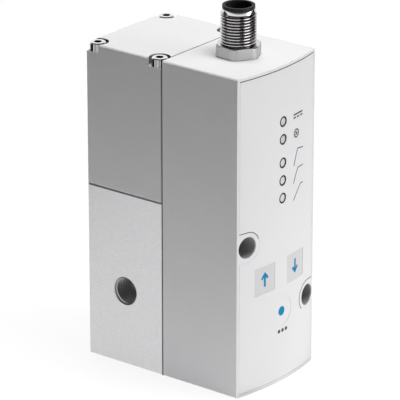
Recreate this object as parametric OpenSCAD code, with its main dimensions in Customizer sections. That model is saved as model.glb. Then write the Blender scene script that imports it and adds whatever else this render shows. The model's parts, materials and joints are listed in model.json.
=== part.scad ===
// Electro pneumatic pressure regulator for wall mounting.
// A valve body with a piloted piston regulator stands at the back, a pilot cover on top of it,
// and an electronics housing with a bulged front cover is screwed to their front.
// Origin: middle of the bottom. X runs across the front, the front faces -Y, Z is up.

/* [Body] */
// Width of the whole regulator
body_w = 42; // [41:0.5:46]
// Height of the housings, without the connector
body_h = 112; // [110:1:124]
// Depth of the valve body and the pilot cover
rear_d = 32; // [31:0.5:36]
// Depth of the electronics housing at its side edges
front_d = 31.5; // [31:0.5:36]
// How far the middle of the front stands out beyond its side edges
front_bulge = 2.5; // [1.5:0.1:3]
// Height of the valve body
valve_h = 62; // [61:0.5:66]
// Chamfer on the outer edges of castings and housings
edge_chamfer = 0.4; // [0.2:0.1:0.6]
// Thickness of the flat gaskets in both seams
gasket_t = 0.4; // [0.3:0.1:1]
// How far the gaskets stand back from the outer faces
gasket_inset = 0.2; // [0.1:0.1:0.8]

/* [Wall mounting] */
// Radius of the two mounting holes through the valve body
hole_r = 2.25; // [2:0.05:2.5]
// Distance of the mounting holes from the side faces
hole_edge = 4.5; // [4.2:0.1:5]
// Upper left mounting hole, below the top of the valve body
hole_drop = 9.2; // [9:0.1:11]
// Lower right mounting hole, above the bottom
hole_low_z = 25.7; // [24:0.1:28]
// Radius of the screwdriver way through the electronics housing
way_r = 3.75; // [3.6:0.05:3.9]
// Wall around the screwdriver way
way_wall = 1.5; // [1.2:0.1:1.8]

/* [Ports] */
// Radius of a port bore, measured at the bottom of its thread
port_r = 4.864; // [4.7:0.001:5]
// Radius of the port mouth at the outer face
port_mouth_r = 5.05; // [5.02:0.01:5.3]
// Depth of the tapped part of a port
port_depth = 9.5; // [8:0.5:10]
// Radius of the drilling from a port into its chamber
drill_r = 4.4; // [4.3:0.05:4.6]
// Height of the supply port on the left side
supply_port_z = 26.7; // [24:0.1:28]
// Height of the outlet port on the right side
outlet_port_z = 44; // [43:0.5:45]
// Depth of the tapped exhaust port in the bottom
exhaust_depth = 8.5; // [8:0.1:9]

/* [Valve] */
// Height of the valve seat above the bottom
seat_z = 34; // [33:0.5:36]
// Thickness of the screwed in valve seat
seat_t = 4; // [3.6:0.1:4.6]
// Radius of the hole in the valve seat
seat_r = 5; // [4.6:0.1:5.4]
// Radius of the supply chamber
supply_r = 9; // [8.6:0.1:9.4]
// Height of the supply chamber's floor
supply_floor_z = 16; // [15:0.5:18]
// Radius of the outlet chamber, which takes the valve seat
outlet_r = 10; // [9.8:0.1:10.4]
// Radius of the piston bore
piston_bore_r = 11.5; // [11:0.1:11.8]
// Depth of the piston bore below the top of the valve body
piston_bore_depth = 11.5; // [11:0.1:13]
// Height of the piston
piston_h = 6; // [5:0.1:7]
// Radius of the piston stem
stem_r = 2.4; // [2:0.1:2.8]
// Travel of the piston and the poppet from closed to full flow
valve_stroke = 1.5; // [1:0.1:2]
// Radius of the poppet disc
poppet_r = 7; // [6.6:0.1:7.4]
// Thickness of the metal poppet disc
poppet_t = 3; // [2.5:0.1:4]
// Thickness of the rubber facing on the poppet
facing_t = 1; // [0.8:0.1:1.5]
// Outer radius of the hollow poppet stem
guide_r = 4.4; // [4.3:0.05:4.5]
// Radius of the relief hole through the poppet
relief_r = 1.6; // [1.2:0.1:1.8]
// Radial play between parts that slide in each other
slide_play = 0.05; // [0.03:0.01:0.08]
// Radial play around pieces that are pushed or screwed in
seat_play = 0.1; // [0.05:0.01:0.2]

/* [Pilot stage] */
// Wall of the pilot cover
cover_wall = 2; // [1.8:0.1:2.4]
// Roof of the pilot cover
cover_roof = 3.5; // [3.4:0.1:5]
// Width of the solid corner columns of the pilot cover
column_w = 7; // [6.8:0.1:7.4]
// Depth of the solid corner columns of the pilot cover
column_d = 6.6; // [6.4:0.1:7]
// Thickness of the pilot block
pilot_block_h = 8; // [7:0.5:10]
// Room between the pilot block and the pilot cover
pilot_room = 0.6; // [0.4:0.1:1]
// Distance of the two pilot valves from the middle
pilot_x = 7; // [6.9:0.1:7.4]
// Outer radius of a solenoid yoke
yoke_r = 6.6; // [6.4:0.05:6.8]
// Sheet thickness of a solenoid yoke
yoke_t = 0.5; // [0.4:0.05:0.8]
// Height of a solenoid yoke
yoke_h = 24; // [22:0.5:26]
// Thickness of the solenoid yoke's roof
yoke_roof = 2; // [1.5:0.1:2.5]
// Radius of an armature
armature_r = 3; // [2.8:0.05:3.1]
// Lift of an armature
armature_lift = 0.4; // [0.3:0.05:0.6]
// Radius of the fine air passages
passage_r = 0.7; // [0.5:0.05:0.8]

/* [Screws] */
// Shank radius of the corner screws
corner_r = 1.5; // [1.4:0.05:1.6]
// Head radius of the corner screws
corner_head_r = 2.75; // [2.6:0.05:2.8]
// Head height of the corner screws
corner_head_h = 3; // [2.8:0.1:3.2]
// Chamfer on the heads of the corner screws
corner_head_edge = 0.3; // [0.1:0.05:0.5]
// Width across flats of the corner screw sockets
corner_socket = 2.5; // [2:0.1:3]
// Distance of the corner screws from the outer faces
corner_inset = 2.85; // [2.8:0.01:3]
// Radius of the pocket around a corner screw head
corner_pocket_r = 3.7; // [3.4:0.05:3.8]
// Thread engagement of the corner screws in the valve body
corner_grip = 4.5; // [4:0.1:5]
// Shank radius of the small machine screws
small_r = 1.25; // [1:0.05:1.4]
// Head radius of the small machine screws
small_head_r = 2.25; // [2:0.05:2.5]
// Head height of the small machine screws
small_head_h = 1.7; // [1.4:0.1:2]
// Width across flats of the small machine screw sockets
small_socket = 2; // [1.5:0.1:2.2]
// Thread engagement of the small machine screws
small_grip = 5; // [4:0.1:5.5]

/* [Electronics housing] */
// Side walls of the electronics housing
wall_t = 2.2; // [2:0.1:2.6]
// Roof of the electronics housing
roof_t = 2.5; // [2.2:0.1:3]
// Floor of the electronics housing
floor_t = 2.2; // [2:0.1:3]
// Back wall of the electronics housing
back_t = 2; // [1.8:0.1:2.4]
// Visible rim around the front cover
rim_t = 1; // [0.8:0.1:1.4]
// Thickness of the front cover
front_cover_t = 2; // [1.6:0.1:2.4]
// Groove between the front cover and the rim
cover_gap = 0.2; // [0.15:0.05:0.4]

/* [Front panel] */
// Distance of the square keys from the side faces
key_edge = 12.7; // [12:0.1:13]
// Height of the square keys
key_z = 39.2; // [38.5:0.1:40]
// Side of the square key openings
key_w = 10; // [9:0.1:10.4]
// Corner radius of the square key openings
key_corner = 0.6; // [0.3:0.1:1]
// Gap around the keys
key_gap = 0.1; // [0.1:0.01:0.2]
// Lip that keeps a key behind the cover
key_lip = 0.9; // [0.6:0.1:1.2]
// How far the keys lie below the cover's surface
key_recess = 0.1; // [0.1:0.05:0.4]
// How far the keys reach behind the cover
key_depth = 2.3; // [2:0.1:2.6]
// Travel of the keys
key_travel = 0.4; // [0.2:0.05:0.6]
// Height of the round key
round_key_z = 25.3; // [24.5:0.1:26]
// Radius of the round key opening
round_key_r = 5.4; // [5:0.1:5.8]
// Sideways place of the lamp column and the round key
lamp_x = 0.5; // [0:0.1:1]
// Uppermost lamp, below the top
lamp_drop = 19.6; // [18.5:0.1:21]
// Spacing of the lamps
lamp_pitch = 6.2; // [6:0.1:6.6]
// Extra space between the two status lamps and the three preset lamps
lamp_break = 2; // [1:0.1:2.4]
// Radius of a lamp lens
lamp_r = 1.3; // [1.2:0.05:1.5]
// Radius of a lamp opening in the cover
lamp_hole_r = 1.95; // [1.85:0.05:2.1]

/* [Circuit board] */
// Front face of the circuit board, behind the middle of the front
board_setback = 9; // [8.7:0.1:9.6]
// Thickness of the circuit board
board_t = 1.6; // [1:0.1:2]
// Room between the circuit board and the side walls
board_room = 1.3; // [1:0.1:2]
// Top edge of the circuit board, below the top
board_drop = 15; // [14.6:0.1:16]
// Bottom edge of the circuit board, above the floor
board_lift = 2; // [1:0.1:3]
// Radius of the posts that carry the circuit board
post_r = 2.6; // [2.4:0.1:3]
// Distance of the posts from the inner side walls
post_edge = 3.8; // [3.2:0.1:4.4]
// Distance of the posts from the ends of the circuit board
post_end = 5; // [4:0.1:6]
// Side of a push switch
switch_w = 6.2; // [6:0.1:7]
// Height of a push switch body
switch_h = 3.4; // [3:0.1:3.8]
// Radius of a push switch stem
switch_stem_r = 1.7; // [1.4:0.1:2]

/* [Connector] */
// Thread radius of the round connector
thread_r = 6; // [5.9:0.01:6.1]
// Length of the thread above the hexagon
thread_h = 12; // [10:0.5:14]
// Width across flats of the hexagon
hex_flats = 14; // [13.6:0.1:15]
// Height of the hexagon
hex_h = 4; // [3:0.1:5]
// Radius that the corners of the hexagon are turned down to
hex_corner_r = 7.6; // [7.2:0.05:8.4]
// Turn of the hexagon
hex_turn = 26; // [0:1:59]
// Radius of the plain collar above the thread
collar_r = 5.55; // [5.45:0.05:5.85]
// Height of the plain collar above the thread
collar_h = 1.2; // [0.8:0.1:2]
// Radius of the contact carrier inside the shell
carrier_r = 4.95; // [4.9:0.01:5.1]
// Radius of the contact carrier's flange on the end of the shell
flange_r = 5.45; // [5.2:0.05:5.5]
// Radius of the plug opening in the contact carrier
socket_r = 4.4; // [4.2:0.05:4.5]
// Depth of the plug opening
socket_depth = 8.5; // [7:0.1:9]
// Thickness of the contact carrier's flange
flange_t = 1.2; // [1.1:0.1:2]
// Radius of a contact pin
pin_r = 0.4; // [0.3:0.05:0.5]
// Radius of the circle of contact pins
pin_circle_r = 2.75; // [2.5:0.05:2.8]
// Thickness of the flat lock nut inside the housing
lock_nut_t = 3; // [2.5:0.1:3.5]
// Depth of the round connector inside the housing
connector_depth = 9; // [8:0.1:9.5]

/* [Hidden] */
$fn = 64;
CUT = 1;
w2 = body_w / 2;
seam_y = (front_d + front_bulge - rear_d) / 2;
back_y = seam_y + rear_d;
axis_y = seam_y + rear_d / 2;
front_y = seam_y - front_d - front_bulge;
arc_r = (w2 * w2 + front_bulge * front_bulge) / (2 * front_bulge);
arc_y = front_y + arc_r;

// Wall mounting and corner screws
hole_x = w2 - hole_edge;
HOLES = [[-hole_x, valve_h - hole_drop], [hole_x, hole_low_z]];
way_outer_r = way_r + way_wall;
corner_x = w2 - corner_inset;
CORNERS = [for (sx = [-1, 1], y = [seam_y + corner_inset, back_y - corner_inset]) [sx * corner_x, y]];
corner_seat_z = body_h - corner_head_h;
thread_play = 0.05;
screw_play = 0.2;

// Valve stack
seat_top_z = seat_z + seat_t;
piston_floor_z = valve_h - piston_bore_depth;
tip_room = 0.5;
piston_z = piston_floor_z + valve_stroke + tip_room;
piston_r = piston_bore_r - slide_play;
piston_rim = 3;
piston_dish = 1.5;
poppet_z = seat_z - facing_t - poppet_t;
poppet_wire = 0.45;
poppet_turns = 5.5;
guide_end_z = exhaust_depth + valve_stroke + tip_room;
ring_wire = 0.75;
ring_squeeze = 0.05;
groove_h = 2;
guide_ring_z = supply_floor_z - 1.5 * groove_h;
seat_ring_z = seat_z + seat_t / 2;
piston_ring_z = piston_z + piston_h / 2;
passage_web = 0.8;
feed_x = -(piston_bore_r + passage_r + passage_web);

// Pilot stage
deck_z = valve_h + gasket_t;
room_x = w2 - column_w;
room_y = rear_d / 2 - cover_wall;
arm_x = w2 - cover_wall;
arm_y = rear_d / 2 - column_d;
block_top_z = deck_z + pilot_block_h;
PILOT_SCREWS = [for (sx = [-1, 1], sy = [-1, 1])
    [sx * (room_x - pilot_room - small_head_r), axis_y + sy * (room_y - pilot_room - small_head_r)]];
feed_mid_z = deck_z + pilot_block_h / 3;
feed_plug_l = 3;
pocket_play = 0.6;
pocket_r = armature_r + pocket_play;
pocket_depth = 2.4;
nozzle_r = 1.4;
nozzle_h = 1;
nozzle_z = block_top_z - pocket_depth + nozzle_h;
coil_h = yoke_h - yoke_roof;
armature_play = 0.15;
coil_bore_r = armature_r + armature_play;
core_z = block_top_z + coil_h / 2;
core_neck_r = armature_r * 0.8;
armature_spring_h = 5;
armature_wire = 0.2;
armature_turns = 5;
spring_seat_z = core_z - armature_lift - armature_spring_h;
spring_pocket_r = armature_r / 2;
yoke_top_z = block_top_z + yoke_h;

// Electronics housing
housing_back_y = seam_y - gasket_t;
inner_back_y = housing_back_y - back_t;
rebate_play = 0.1;
cover_back_y = front_y + front_bulge + 2 * front_cover_t;
board_y = front_y + board_setback;
board_back_y = board_y + board_t;
board_x = w2 - wall_t - board_room;
board_z0 = floor_t + board_lift;
board_z1 = body_h - board_drop;
board_way_gap = 0.6;
post_x = w2 - wall_t - post_edge;
POSTS = [for (sx = [-1, 1], z = [board_z0 + post_end, board_z1 - post_end]) [sx * post_x, z]];
screw_low_z = board_z0 + post_end;
screw_drop = 12;
screw_high_z = body_h - screw_drop;
screw_x = 7;
HOUSING_SCREWS = [for (sx = [-1, 1], z = [screw_low_z, screw_high_z]) [sx * screw_x, z]];
sensor_z = outlet_port_z;
sensor_spigot_r = 3;
sensor_spigot = 4;
sensor_r = 5.5;
sensor_flange_t = 1.6;
sensor_can_r = 4.2;
sensor_h = 7;
lead_r = 0.3;

// Front panel
LAMPS = [for (i = [0:4]) body_h - lamp_drop - i * lamp_pitch - (i > 1 ? lamp_break : 0)];
key_x = w2 - key_edge;
key_back_y = front_y + front_cover_t + key_depth;
key_lift = 0.3;
spacer_gap = 1;
spacer_front_y = front_y + front_cover_t + spacer_gap;
spacer_x = 3.2;
spacer_end = 3.6;
lamp_recess = 0.15;
lamp_foot_t = 1;
lamp_play = 0.05;
switch_play = 0.1;
switch_well = 2.4;
switch_front_y = board_y - switch_h;
KEYS = [[-key_x, key_z], [key_x, key_z], [lamp_x, round_key_z]];
snap_w = 8;
snap_t = 1;
snap_reach = 5;
snap_barb = 0.5;
snap_lead = 1;
snap_groove = 2;
snap_end_y = front_y + front_cover_t + snap_reach;

// Connector
conn_y = seam_y - front_d / 2;
hex_top_z = body_h + hex_h;
hex_cone = tan(60);
thread_top_z = hex_top_z + thread_h;
lead_z = thread_top_z - collar_h - thread_r + collar_r;
hex_edge_r = (hex_flats / 2 + hex_corner_r) / 2;
carrier_top_z = thread_top_z + flange_t;
socket_z = carrier_top_z - socket_depth;
carrier_end_z = body_h - connector_depth;
rib_w = 1;
rib_h = 0.8;
rib_drop = 1;
pin_tip = 3;
pin_tail = 3.5;
rear_board_gap = 2.5;
rear_board_z = carrier_end_z - rear_board_gap;
rear_board_t = 0.8;
rear_board_r = 5.2;
seal_t = 1;
seal_r = 6.9;
nut_flats = 15.5;

// Places of the contact pins: one in the middle, seven around it
PINS = concat([[0, 0]], [for (i = [0:6]) pin_circle_r * [cos(360 * i / 7), sin(360 * i / 7)]]);

// Flat leads and the headers that they plug into
flex_t = 0.4;
flex_bend = 1;
header_d = 2.4;
header_h = 4.5;
header_w = 11;
header_edge = 1.5;
header_gap = 2;
connector_header_z = board_z1 - header_edge - header_h;
pilot_header_z = connector_header_z - header_gap - header_h;
pilot_flex_z = pilot_header_z + header_h / 2;
pilot_flex_w = 9;
slot_h = 2.4;
flex_y = board_back_y + header_d / 2;

ALUMINIUM = [0.78, 0.78, 0.78];
HOUSING_GREY = [0.72, 0.72, 0.73];
PANEL_GREY = [0.88, 0.88, 0.88];
KEY_GREY = [0.76, 0.77, 0.78];
STEEL = [0.7, 0.7, 0.72];
BRASS = [0.78, 0.64, 0.32];
COPPER = [0.72, 0.42, 0.25];
RUBBER = [0.12, 0.12, 0.13];
BLACK = [0.08, 0.08, 0.08];
LENS = [0.66, 0.68, 0.68];
BOARD_GREEN = [0.1, 0.36, 0.2];
FLEX_AMBER = [0.7, 0.45, 0.15];

// Points of a rectangle with chamfered corners
function chamfered(a0, b0, a1, b1, c) = [[a0 + c, b0], [a1 - c, b0], [a1, b0 + c], [a1, b1 - c],
    [a1 - c, b1], [a0 + c, b1], [a0, b1 - c], [a0, b0 + c]];

// Outline in Y and Z, drawn out along X
module along_x(x0, x1) translate([x0, 0, 0]) rotate([90, 0, 90]) linear_extrude(x1 - x0) children();

// Outline in X and Z, drawn out along Y
module along_y(y0, y1) translate([0, y1, 0]) rotate([90, 0, 0]) linear_extrude(y1 - y0) children();

module rod_x(r, x0, x1, y, z) translate([x0, y, z]) rotate([0, 90, 0]) cylinder(r = r, h = x1 - x0);

module rod_y(r, y0, y1, x, z) translate([x, y0, z]) rotate([-90, 0, 0]) cylinder(r = r, h = y1 - y0);

module rod_z(r, z0, z1, x = 0, y = 0) translate([x, y, z0]) cylinder(r = r, h = z1 - z0);

module box(lo, hi) translate(lo) cube(hi - lo);

// Box with all twelve edges chamfered
module block(lo, hi, c) intersection() {
    translate([0, 0, lo.z]) linear_extrude(hi.z - lo.z) polygon(chamfered(lo.x, lo.y, hi.x, hi.y, c));
    along_x(lo.x, hi.x) polygon(chamfered(lo.y, lo.z, hi.y, hi.z, c));
    along_y(lo.y, hi.y) polygon(chamfered(lo.x, lo.z, hi.x, hi.z, c));
}

// Ring of round section about a vertical axis
module o_ring(mid_r, wire_r, z) translate([0, 0, z])
    rotate_extrude() translate([mid_r, 0]) circle(r = wire_r, $fn = 24);

// Space of a ring groove in the outer face of a shaft
module outer_groove(shaft_r, z) difference() {
    rod_z(shaft_r + CUT, z - groove_h / 2, z + groove_h / 2);
    rod_z(shaft_r - 2 * ring_wire, z - groove_h, z + groove_h);
}

// Blind hole for a thread, a little longer than the screw reaches into it
module tap_z(r, top, grip, p) rod_z(r + thread_play, top - grip - tip_room, top + CUT, p.x, p.y);
module tap_y(r, face, grip, p) rod_y(r + thread_play, face - CUT, face + grip + tip_room, p.x, p.y);

// Square with rounded corners
module rounded_square(w, r) {
    square([w, w - 2 * r], center = true);
    square([w - 2 * r, w], center = true);
    for (sx = [-1, 1], sy = [-1, 1]) translate([sx, sy] * (w / 2 - r)) circle(r = r);
}

// Round wire wound into a compression spring between two heights
module coil_spring(mid_r, wire_r, turns, z0, z1, sides = 6, steps = 14) {
    count = ceil(turns * steps);
    rise = z1 - z0 - 2 * wire_r;
    points = [for (i = [0:count], j = [0:sides - 1])
        let (a = 360 * turns * i / count, b = 360 * j / sides, r = mid_r + wire_r * cos(b))
        [r * cos(a), r * sin(a), z0 + wire_r + rise * i / count + wire_r * sin(b)]];
    walls = [for (i = [0:count - 1], j = [0:sides - 1])
        let (a = i * sides + j, b = i * sides + (j + 1) % sides)
        each [[a, a + sides, b], [b, a + sides, b + sides]]];
    first = [for (j = [0:sides - 1]) j];
    last = [for (j = [sides - 1:-1:0]) count * sides + j];
    polyhedron(points, concat(walls, [first, last]), convexity = 8);
}

// Everything that lies at least a given depth behind the bulged front
module behind_front(depth) translate([0, arc_y, -CUT])
    cylinder(r = arc_r - depth, h = body_h + 2 * CUT, $fn = 256);

module valve_axis() translate([0, axis_y, 0]) children();

// Rear column: valve body and regulator

// Tapped port with a chamfered mouth, pointing up into the material
module port(depth) {
    translate([0, 0, -CUT]) cylinder(r = port_r, h = depth + CUT);
    cylinder(r1 = port_mouth_r, r2 = port_r, h = port_mouth_r - port_r);
}

// Port in a side face, drilled on into the valve axis
module side_port(side, z) translate([side * w2, axis_y, z]) rotate([0, -side * 90, 0]) {
    port(port_depth);
    cylinder(r = drill_r, h = w2);
}

module valve_body() color(ALUMINIUM) difference() {
    block([-w2, seam_y, 0], [w2, back_y, valve_h], edge_chamfer);
    valve_axis() {
        port(exhaust_depth);
        rod_z(guide_r + slide_play, exhaust_depth - CUT, supply_floor_z + CUT);
        rod_z(guide_r + 2 * ring_wire, guide_ring_z - groove_h / 2, guide_ring_z + groove_h / 2);
        rod_z(supply_r, supply_floor_z, seat_z + CUT);
        rod_z(outlet_r, seat_z, valve_h);
        rod_z(piston_bore_r, piston_floor_z, valve_h + CUT);
        rod_z(passage_r, supply_port_z, valve_h + CUT, feed_x);
    }
    side_port(-1, supply_port_z);
    side_port(1, outlet_port_z);
    for (h = HOLES) rod_y(hole_r, seam_y - CUT, back_y + CUT, h.x, h.y);
    for (c = CORNERS) tap_z(corner_r, valve_h, corner_grip, c);
    for (s = PILOT_SCREWS) tap_z(small_r, valve_h, small_grip, s);
    for (sx = [-1, 1]) tap_y(small_r, seam_y, small_grip, [sx * screw_x, screw_low_z]);
    rod_y(sensor_spigot_r + seat_play, seam_y - CUT, seam_y + sensor_spigot, 0, sensor_z);
    rod_y(passage_r, seam_y, axis_y, 0, sensor_z);
}

// Valve seat: screwed down onto the shoulder above the supply chamber
module valve_seat() color(BRASS) valve_axis() difference() {
    rod_z(outlet_r - seat_play, seat_z, seat_top_z);
    rod_z(seat_r, seat_z - CUT, seat_top_z + CUT);
    outer_groove(outlet_r, seat_ring_z);
}

module seat_o_ring() color(RUBBER) valve_axis()
    o_ring(outlet_r - ring_wire - ring_squeeze, ring_wire - ring_squeeze, seat_ring_z);

module guide_o_ring() color(RUBBER) valve_axis()
    o_ring(guide_r + ring_wire + ring_squeeze, ring_wire - ring_squeeze, guide_ring_z);

// Hollow poppet: its stem runs in the guide and lets the relief air out
module poppet() color(BRASS) valve_axis() difference() {
    union() {
        rod_z(guide_r, guide_end_z, poppet_z + CUT);
        rod_z(poppet_r, poppet_z, poppet_z + poppet_t);
    }
    rod_z(relief_r, guide_end_z - CUT, seat_z);
}

module poppet_facing() color(RUBBER) valve_axis() difference() {
    rod_z(poppet_r, seat_z - facing_t, seat_z);
    rod_z(relief_r, seat_z - facing_t - CUT, seat_z + CUT);
}

module poppet_spring() color(STEEL) valve_axis()
    coil_spring((guide_r + poppet_r) / 2, poppet_wire, poppet_turns, supply_floor_z, poppet_z);

// Piston: pilot air above it, outlet air below it; its stem ends on the poppet's facing
module piston() color(ALUMINIUM) valve_axis() difference() {
    union() {
        rod_z(stem_r, seat_z, piston_z + CUT);
        rod_z(piston_r, piston_z, piston_z + piston_h);
    }
    outer_groove(piston_bore_r, piston_ring_z);
    rod_z(piston_r - piston_rim, piston_z + piston_h - piston_dish, piston_z + piston_h + CUT);
}

module piston_o_ring() color(RUBBER) valve_axis()
    o_ring(piston_bore_r - ring_wire - ring_squeeze / 2, ring_wire - ring_squeeze, piston_ring_z);

// Gasket between valve body and pilot stage
module body_gasket() color(RUBBER) translate([0, 0, valve_h]) linear_extrude(gasket_t) difference() {
    translate([-w2 + gasket_inset, seam_y + gasket_inset])
        square([body_w - 2 * gasket_inset, rear_d - 2 * gasket_inset]);
    translate([0, axis_y]) circle(r = piston_bore_r);
    translate([feed_x, axis_y]) circle(r = passage_r);
    for (c = CORNERS) translate(c) circle(r = corner_r + screw_play);
    for (s = PILOT_SCREWS) translate(s) circle(r = small_r + screw_play);
}

// Pilot stage

// Cross shaped outline that stays clear of the four corner columns
module pilot_outline(room) translate([0, axis_y]) {
    square(2 * [room_x - room, room_y - room], center = true);
    square(2 * [arm_x - room, arm_y - room], center = true);
}

// Open pocket for a screw head, towards the corner that it stands in
module corner_pocket(c) {
    out_x = c.x > 0 ? 1 : -1;
    out_y = c.y > axis_y ? 1 : -1;
    rod_z(corner_pocket_r, corner_seat_z, body_h + CUT, c.x, c.y);
    translate([c.x, c.y, corner_seat_z + body_h / 2])
        translate([out_x, out_y] * corner_pocket_r / 2)
            cube([corner_pocket_r, corner_pocket_r, body_h], center = true);
}

module pilot_cover() color(HOUSING_GREY) difference() {
    union() {
        difference() {
            block([-w2, seam_y, deck_z], [w2, back_y, body_h], edge_chamfer);
            translate([0, 0, deck_z - CUT])
                linear_extrude(body_h - cover_roof - deck_z + CUT) pilot_outline(0);
        }
        for (sx = [-1, 1]) {
            boss_end_y = seam_y + small_grip + cover_wall;
            rod_y(post_r, seam_y + cover_wall / 2, boss_end_y, sx * screw_x, screw_high_z);
        }
    }
    for (c = CORNERS) {
        rod_z(corner_r + screw_play, deck_z - CUT, body_h, c.x, c.y);
        corner_pocket(c);
    }
    for (sx = [-1, 1]) tap_y(small_r, seam_y, small_grip, [sx * screw_x, screw_high_z]);
    along_y(seam_y - CUT, seam_y + cover_wall + CUT) translate([0, pilot_flex_z])
        square([2 * pilot_flex_w, slot_h], center = true);
}

module corner_screws() color(STEEL) for (c = CORNERS) translate([c.x, c.y, 0]) difference() {
    union() {
        rod_z(corner_r, valve_h - corner_grip, corner_seat_z + CUT);
        rod_z(corner_head_r, corner_seat_z, body_h - corner_head_edge);
        translate([0, 0, body_h - corner_head_edge])
            cylinder(r1 = corner_head_r, r2 = corner_head_r - corner_head_edge, h = corner_head_edge);
    }
    translate([0, 0, body_h - corner_head_h / 2])
        cylinder(d = corner_socket / cos(30), h = corner_head_h, $fn = 6);
}

// Block with the two pilot seats, between the piston chamber and the solenoids
module pilot_block() color(ALUMINIUM) difference() {
    union() {
        difference() {
            translate([0, 0, deck_z]) linear_extrude(pilot_block_h) pilot_outline(pilot_room);
            for (sx = [-1, 1])
                rod_z(pocket_r, block_top_z - pocket_depth, block_top_z + CUT, sx * pilot_x, axis_y);
        }
        for (sx = [-1, 1]) rod_z(nozzle_r, nozzle_z - nozzle_h - CUT, nozzle_z, sx * pilot_x, axis_y);
    }
    // Feed: up from the supply port, across, and up through the left nozzle
    rod_z(passage_r, deck_z - CUT, feed_mid_z, feed_x, axis_y);
    rod_x(passage_r, -arm_x, -pilot_x, axis_y, feed_mid_z);
    rod_z(passage_r, feed_mid_z, nozzle_z + CUT, -pilot_x, axis_y);
    // From the left pocket down into the piston chamber, and from there up through the right nozzle
    rod_z(passage_r, deck_z - CUT, block_top_z, nozzle_r + passage_r + seat_play - pilot_x, axis_y);
    rod_z(passage_r, deck_z - CUT, nozzle_z + CUT, pilot_x, axis_y);
    for (s = PILOT_SCREWS) rod_z(small_r + screw_play, deck_z - CUT, block_top_z + CUT, s.x, s.y);
}

module pilot_block_screws() color(STEEL) for (s = PILOT_SCREWS) translate([s.x, s.y, 0]) difference() {
    union() {
        rod_z(small_r, valve_h - small_grip, block_top_z + CUT);
        rod_z(small_head_r, block_top_z, block_top_z + small_head_h);
    }
    translate([0, 0, block_top_z + small_head_h / 2])
        cylinder(d = small_socket / cos(30), h = small_head_h, $fn = 6);
}

// Pin that closes the outer end of the cross drilling
module feed_plug() color(STEEL)
    rod_x(passage_r - thread_play, pilot_room - arm_x, pilot_room - arm_x + feed_plug_l, axis_y, feed_mid_z);

// Steel can of a solenoid, open below
module yoke(x) color(STEEL) translate([x, axis_y, 0]) difference() {
    rod_z(yoke_r, block_top_z, yoke_top_z);
    rod_z(yoke_r - yoke_t, block_top_z - CUT, block_top_z + coil_h);
    rod_z(core_neck_r + seat_play, block_top_z, yoke_top_z + CUT);
}

module coil(x) color(COPPER) translate([x, axis_y, 0]) difference() {
    rod_z(yoke_r - yoke_t - seat_play, block_top_z, block_top_z + coil_h);
    rod_z(coil_bore_r, block_top_z - CUT, block_top_z + coil_h + CUT);
}

// Fixed core: closes the coil from above, its neck sits in the yoke
module core(x) color(STEEL) translate([x, axis_y, 0]) {
    rod_z(armature_r, core_z, block_top_z + coil_h);
    rod_z(core_neck_r, block_top_z + coil_h - CUT, yoke_top_z);
}

module armature(x) color(STEEL) translate([x, axis_y, 0]) difference() {
    rod_z(armature_r, nozzle_z, core_z - armature_lift);
    rod_z(spring_pocket_r, spring_seat_z, core_z);
}

module armature_spring(x) color(STEEL) translate([x, axis_y, 0])
    coil_spring(spring_pocket_r - armature_wire - seat_play, armature_wire, armature_turns, spring_seat_z,
        core_z, steps = 10);

module feed_yoke() yoke(-pilot_x);
module feed_coil() coil(-pilot_x);
module feed_core() core(-pilot_x);
module feed_armature() armature(-pilot_x);
module feed_spring() armature_spring(-pilot_x);
module vent_yoke() yoke(pilot_x);
module vent_coil() coil(pilot_x);
module vent_core() core(pilot_x);
module vent_armature() armature(pilot_x);
module vent_spring() armature_spring(pilot_x);

// Electronics housing

// Gasket between the rear column and the electronics housing
module seam_gasket() color(RUBBER) along_y(housing_back_y, seam_y) difference() {
    translate([-w2 + gasket_inset, gasket_inset])
        square([body_w - 2 * gasket_inset, body_h - 2 * gasket_inset]);
    for (h = HOLES) translate(h) circle(r = way_r);
    for (s = HOUSING_SCREWS) translate(s) circle(r = small_r + screw_play);
    translate([0, sensor_z]) circle(r = sensor_spigot_r + screw_play);
    translate([0, pilot_flex_z]) square([2 * pilot_flex_w, slot_h], center = true);
}

// Outer form: bulged in plan, with chamfered long edges
module housing_form() intersection() {
    linear_extrude(body_h) intersection() {
        translate([-w2, front_y - CUT]) square([body_w, housing_back_y - front_y + CUT]);
        translate([0, arc_y]) circle(r = arc_r, $fn = 256);
    }
    along_y(front_y - CUT, housing_back_y) polygon(chamfered(-w2, 0, w2, body_h, edge_chamfer));
}

// Space that the front cover fills, widened by a given play
module cover_space(play) difference() {
    box([-w2 + rim_t + cover_gap - play, front_y - CUT, rim_t + cover_gap - play],
        [w2 - rim_t - cover_gap + play, cover_back_y, body_h - rim_t - cover_gap + play]);
    behind_front(front_cover_t);
}

// U shaped wall around a screwdriver way, joined to the side wall and grown by a given margin
module way_outline(h, grow) translate(h) {
    circle(r = way_outer_r + grow);
    translate([h.x > 0 ? 0 : -hole_edge, -way_outer_r - grow]) square([hole_edge, 2 * (way_outer_r + grow)]);
}

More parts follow.
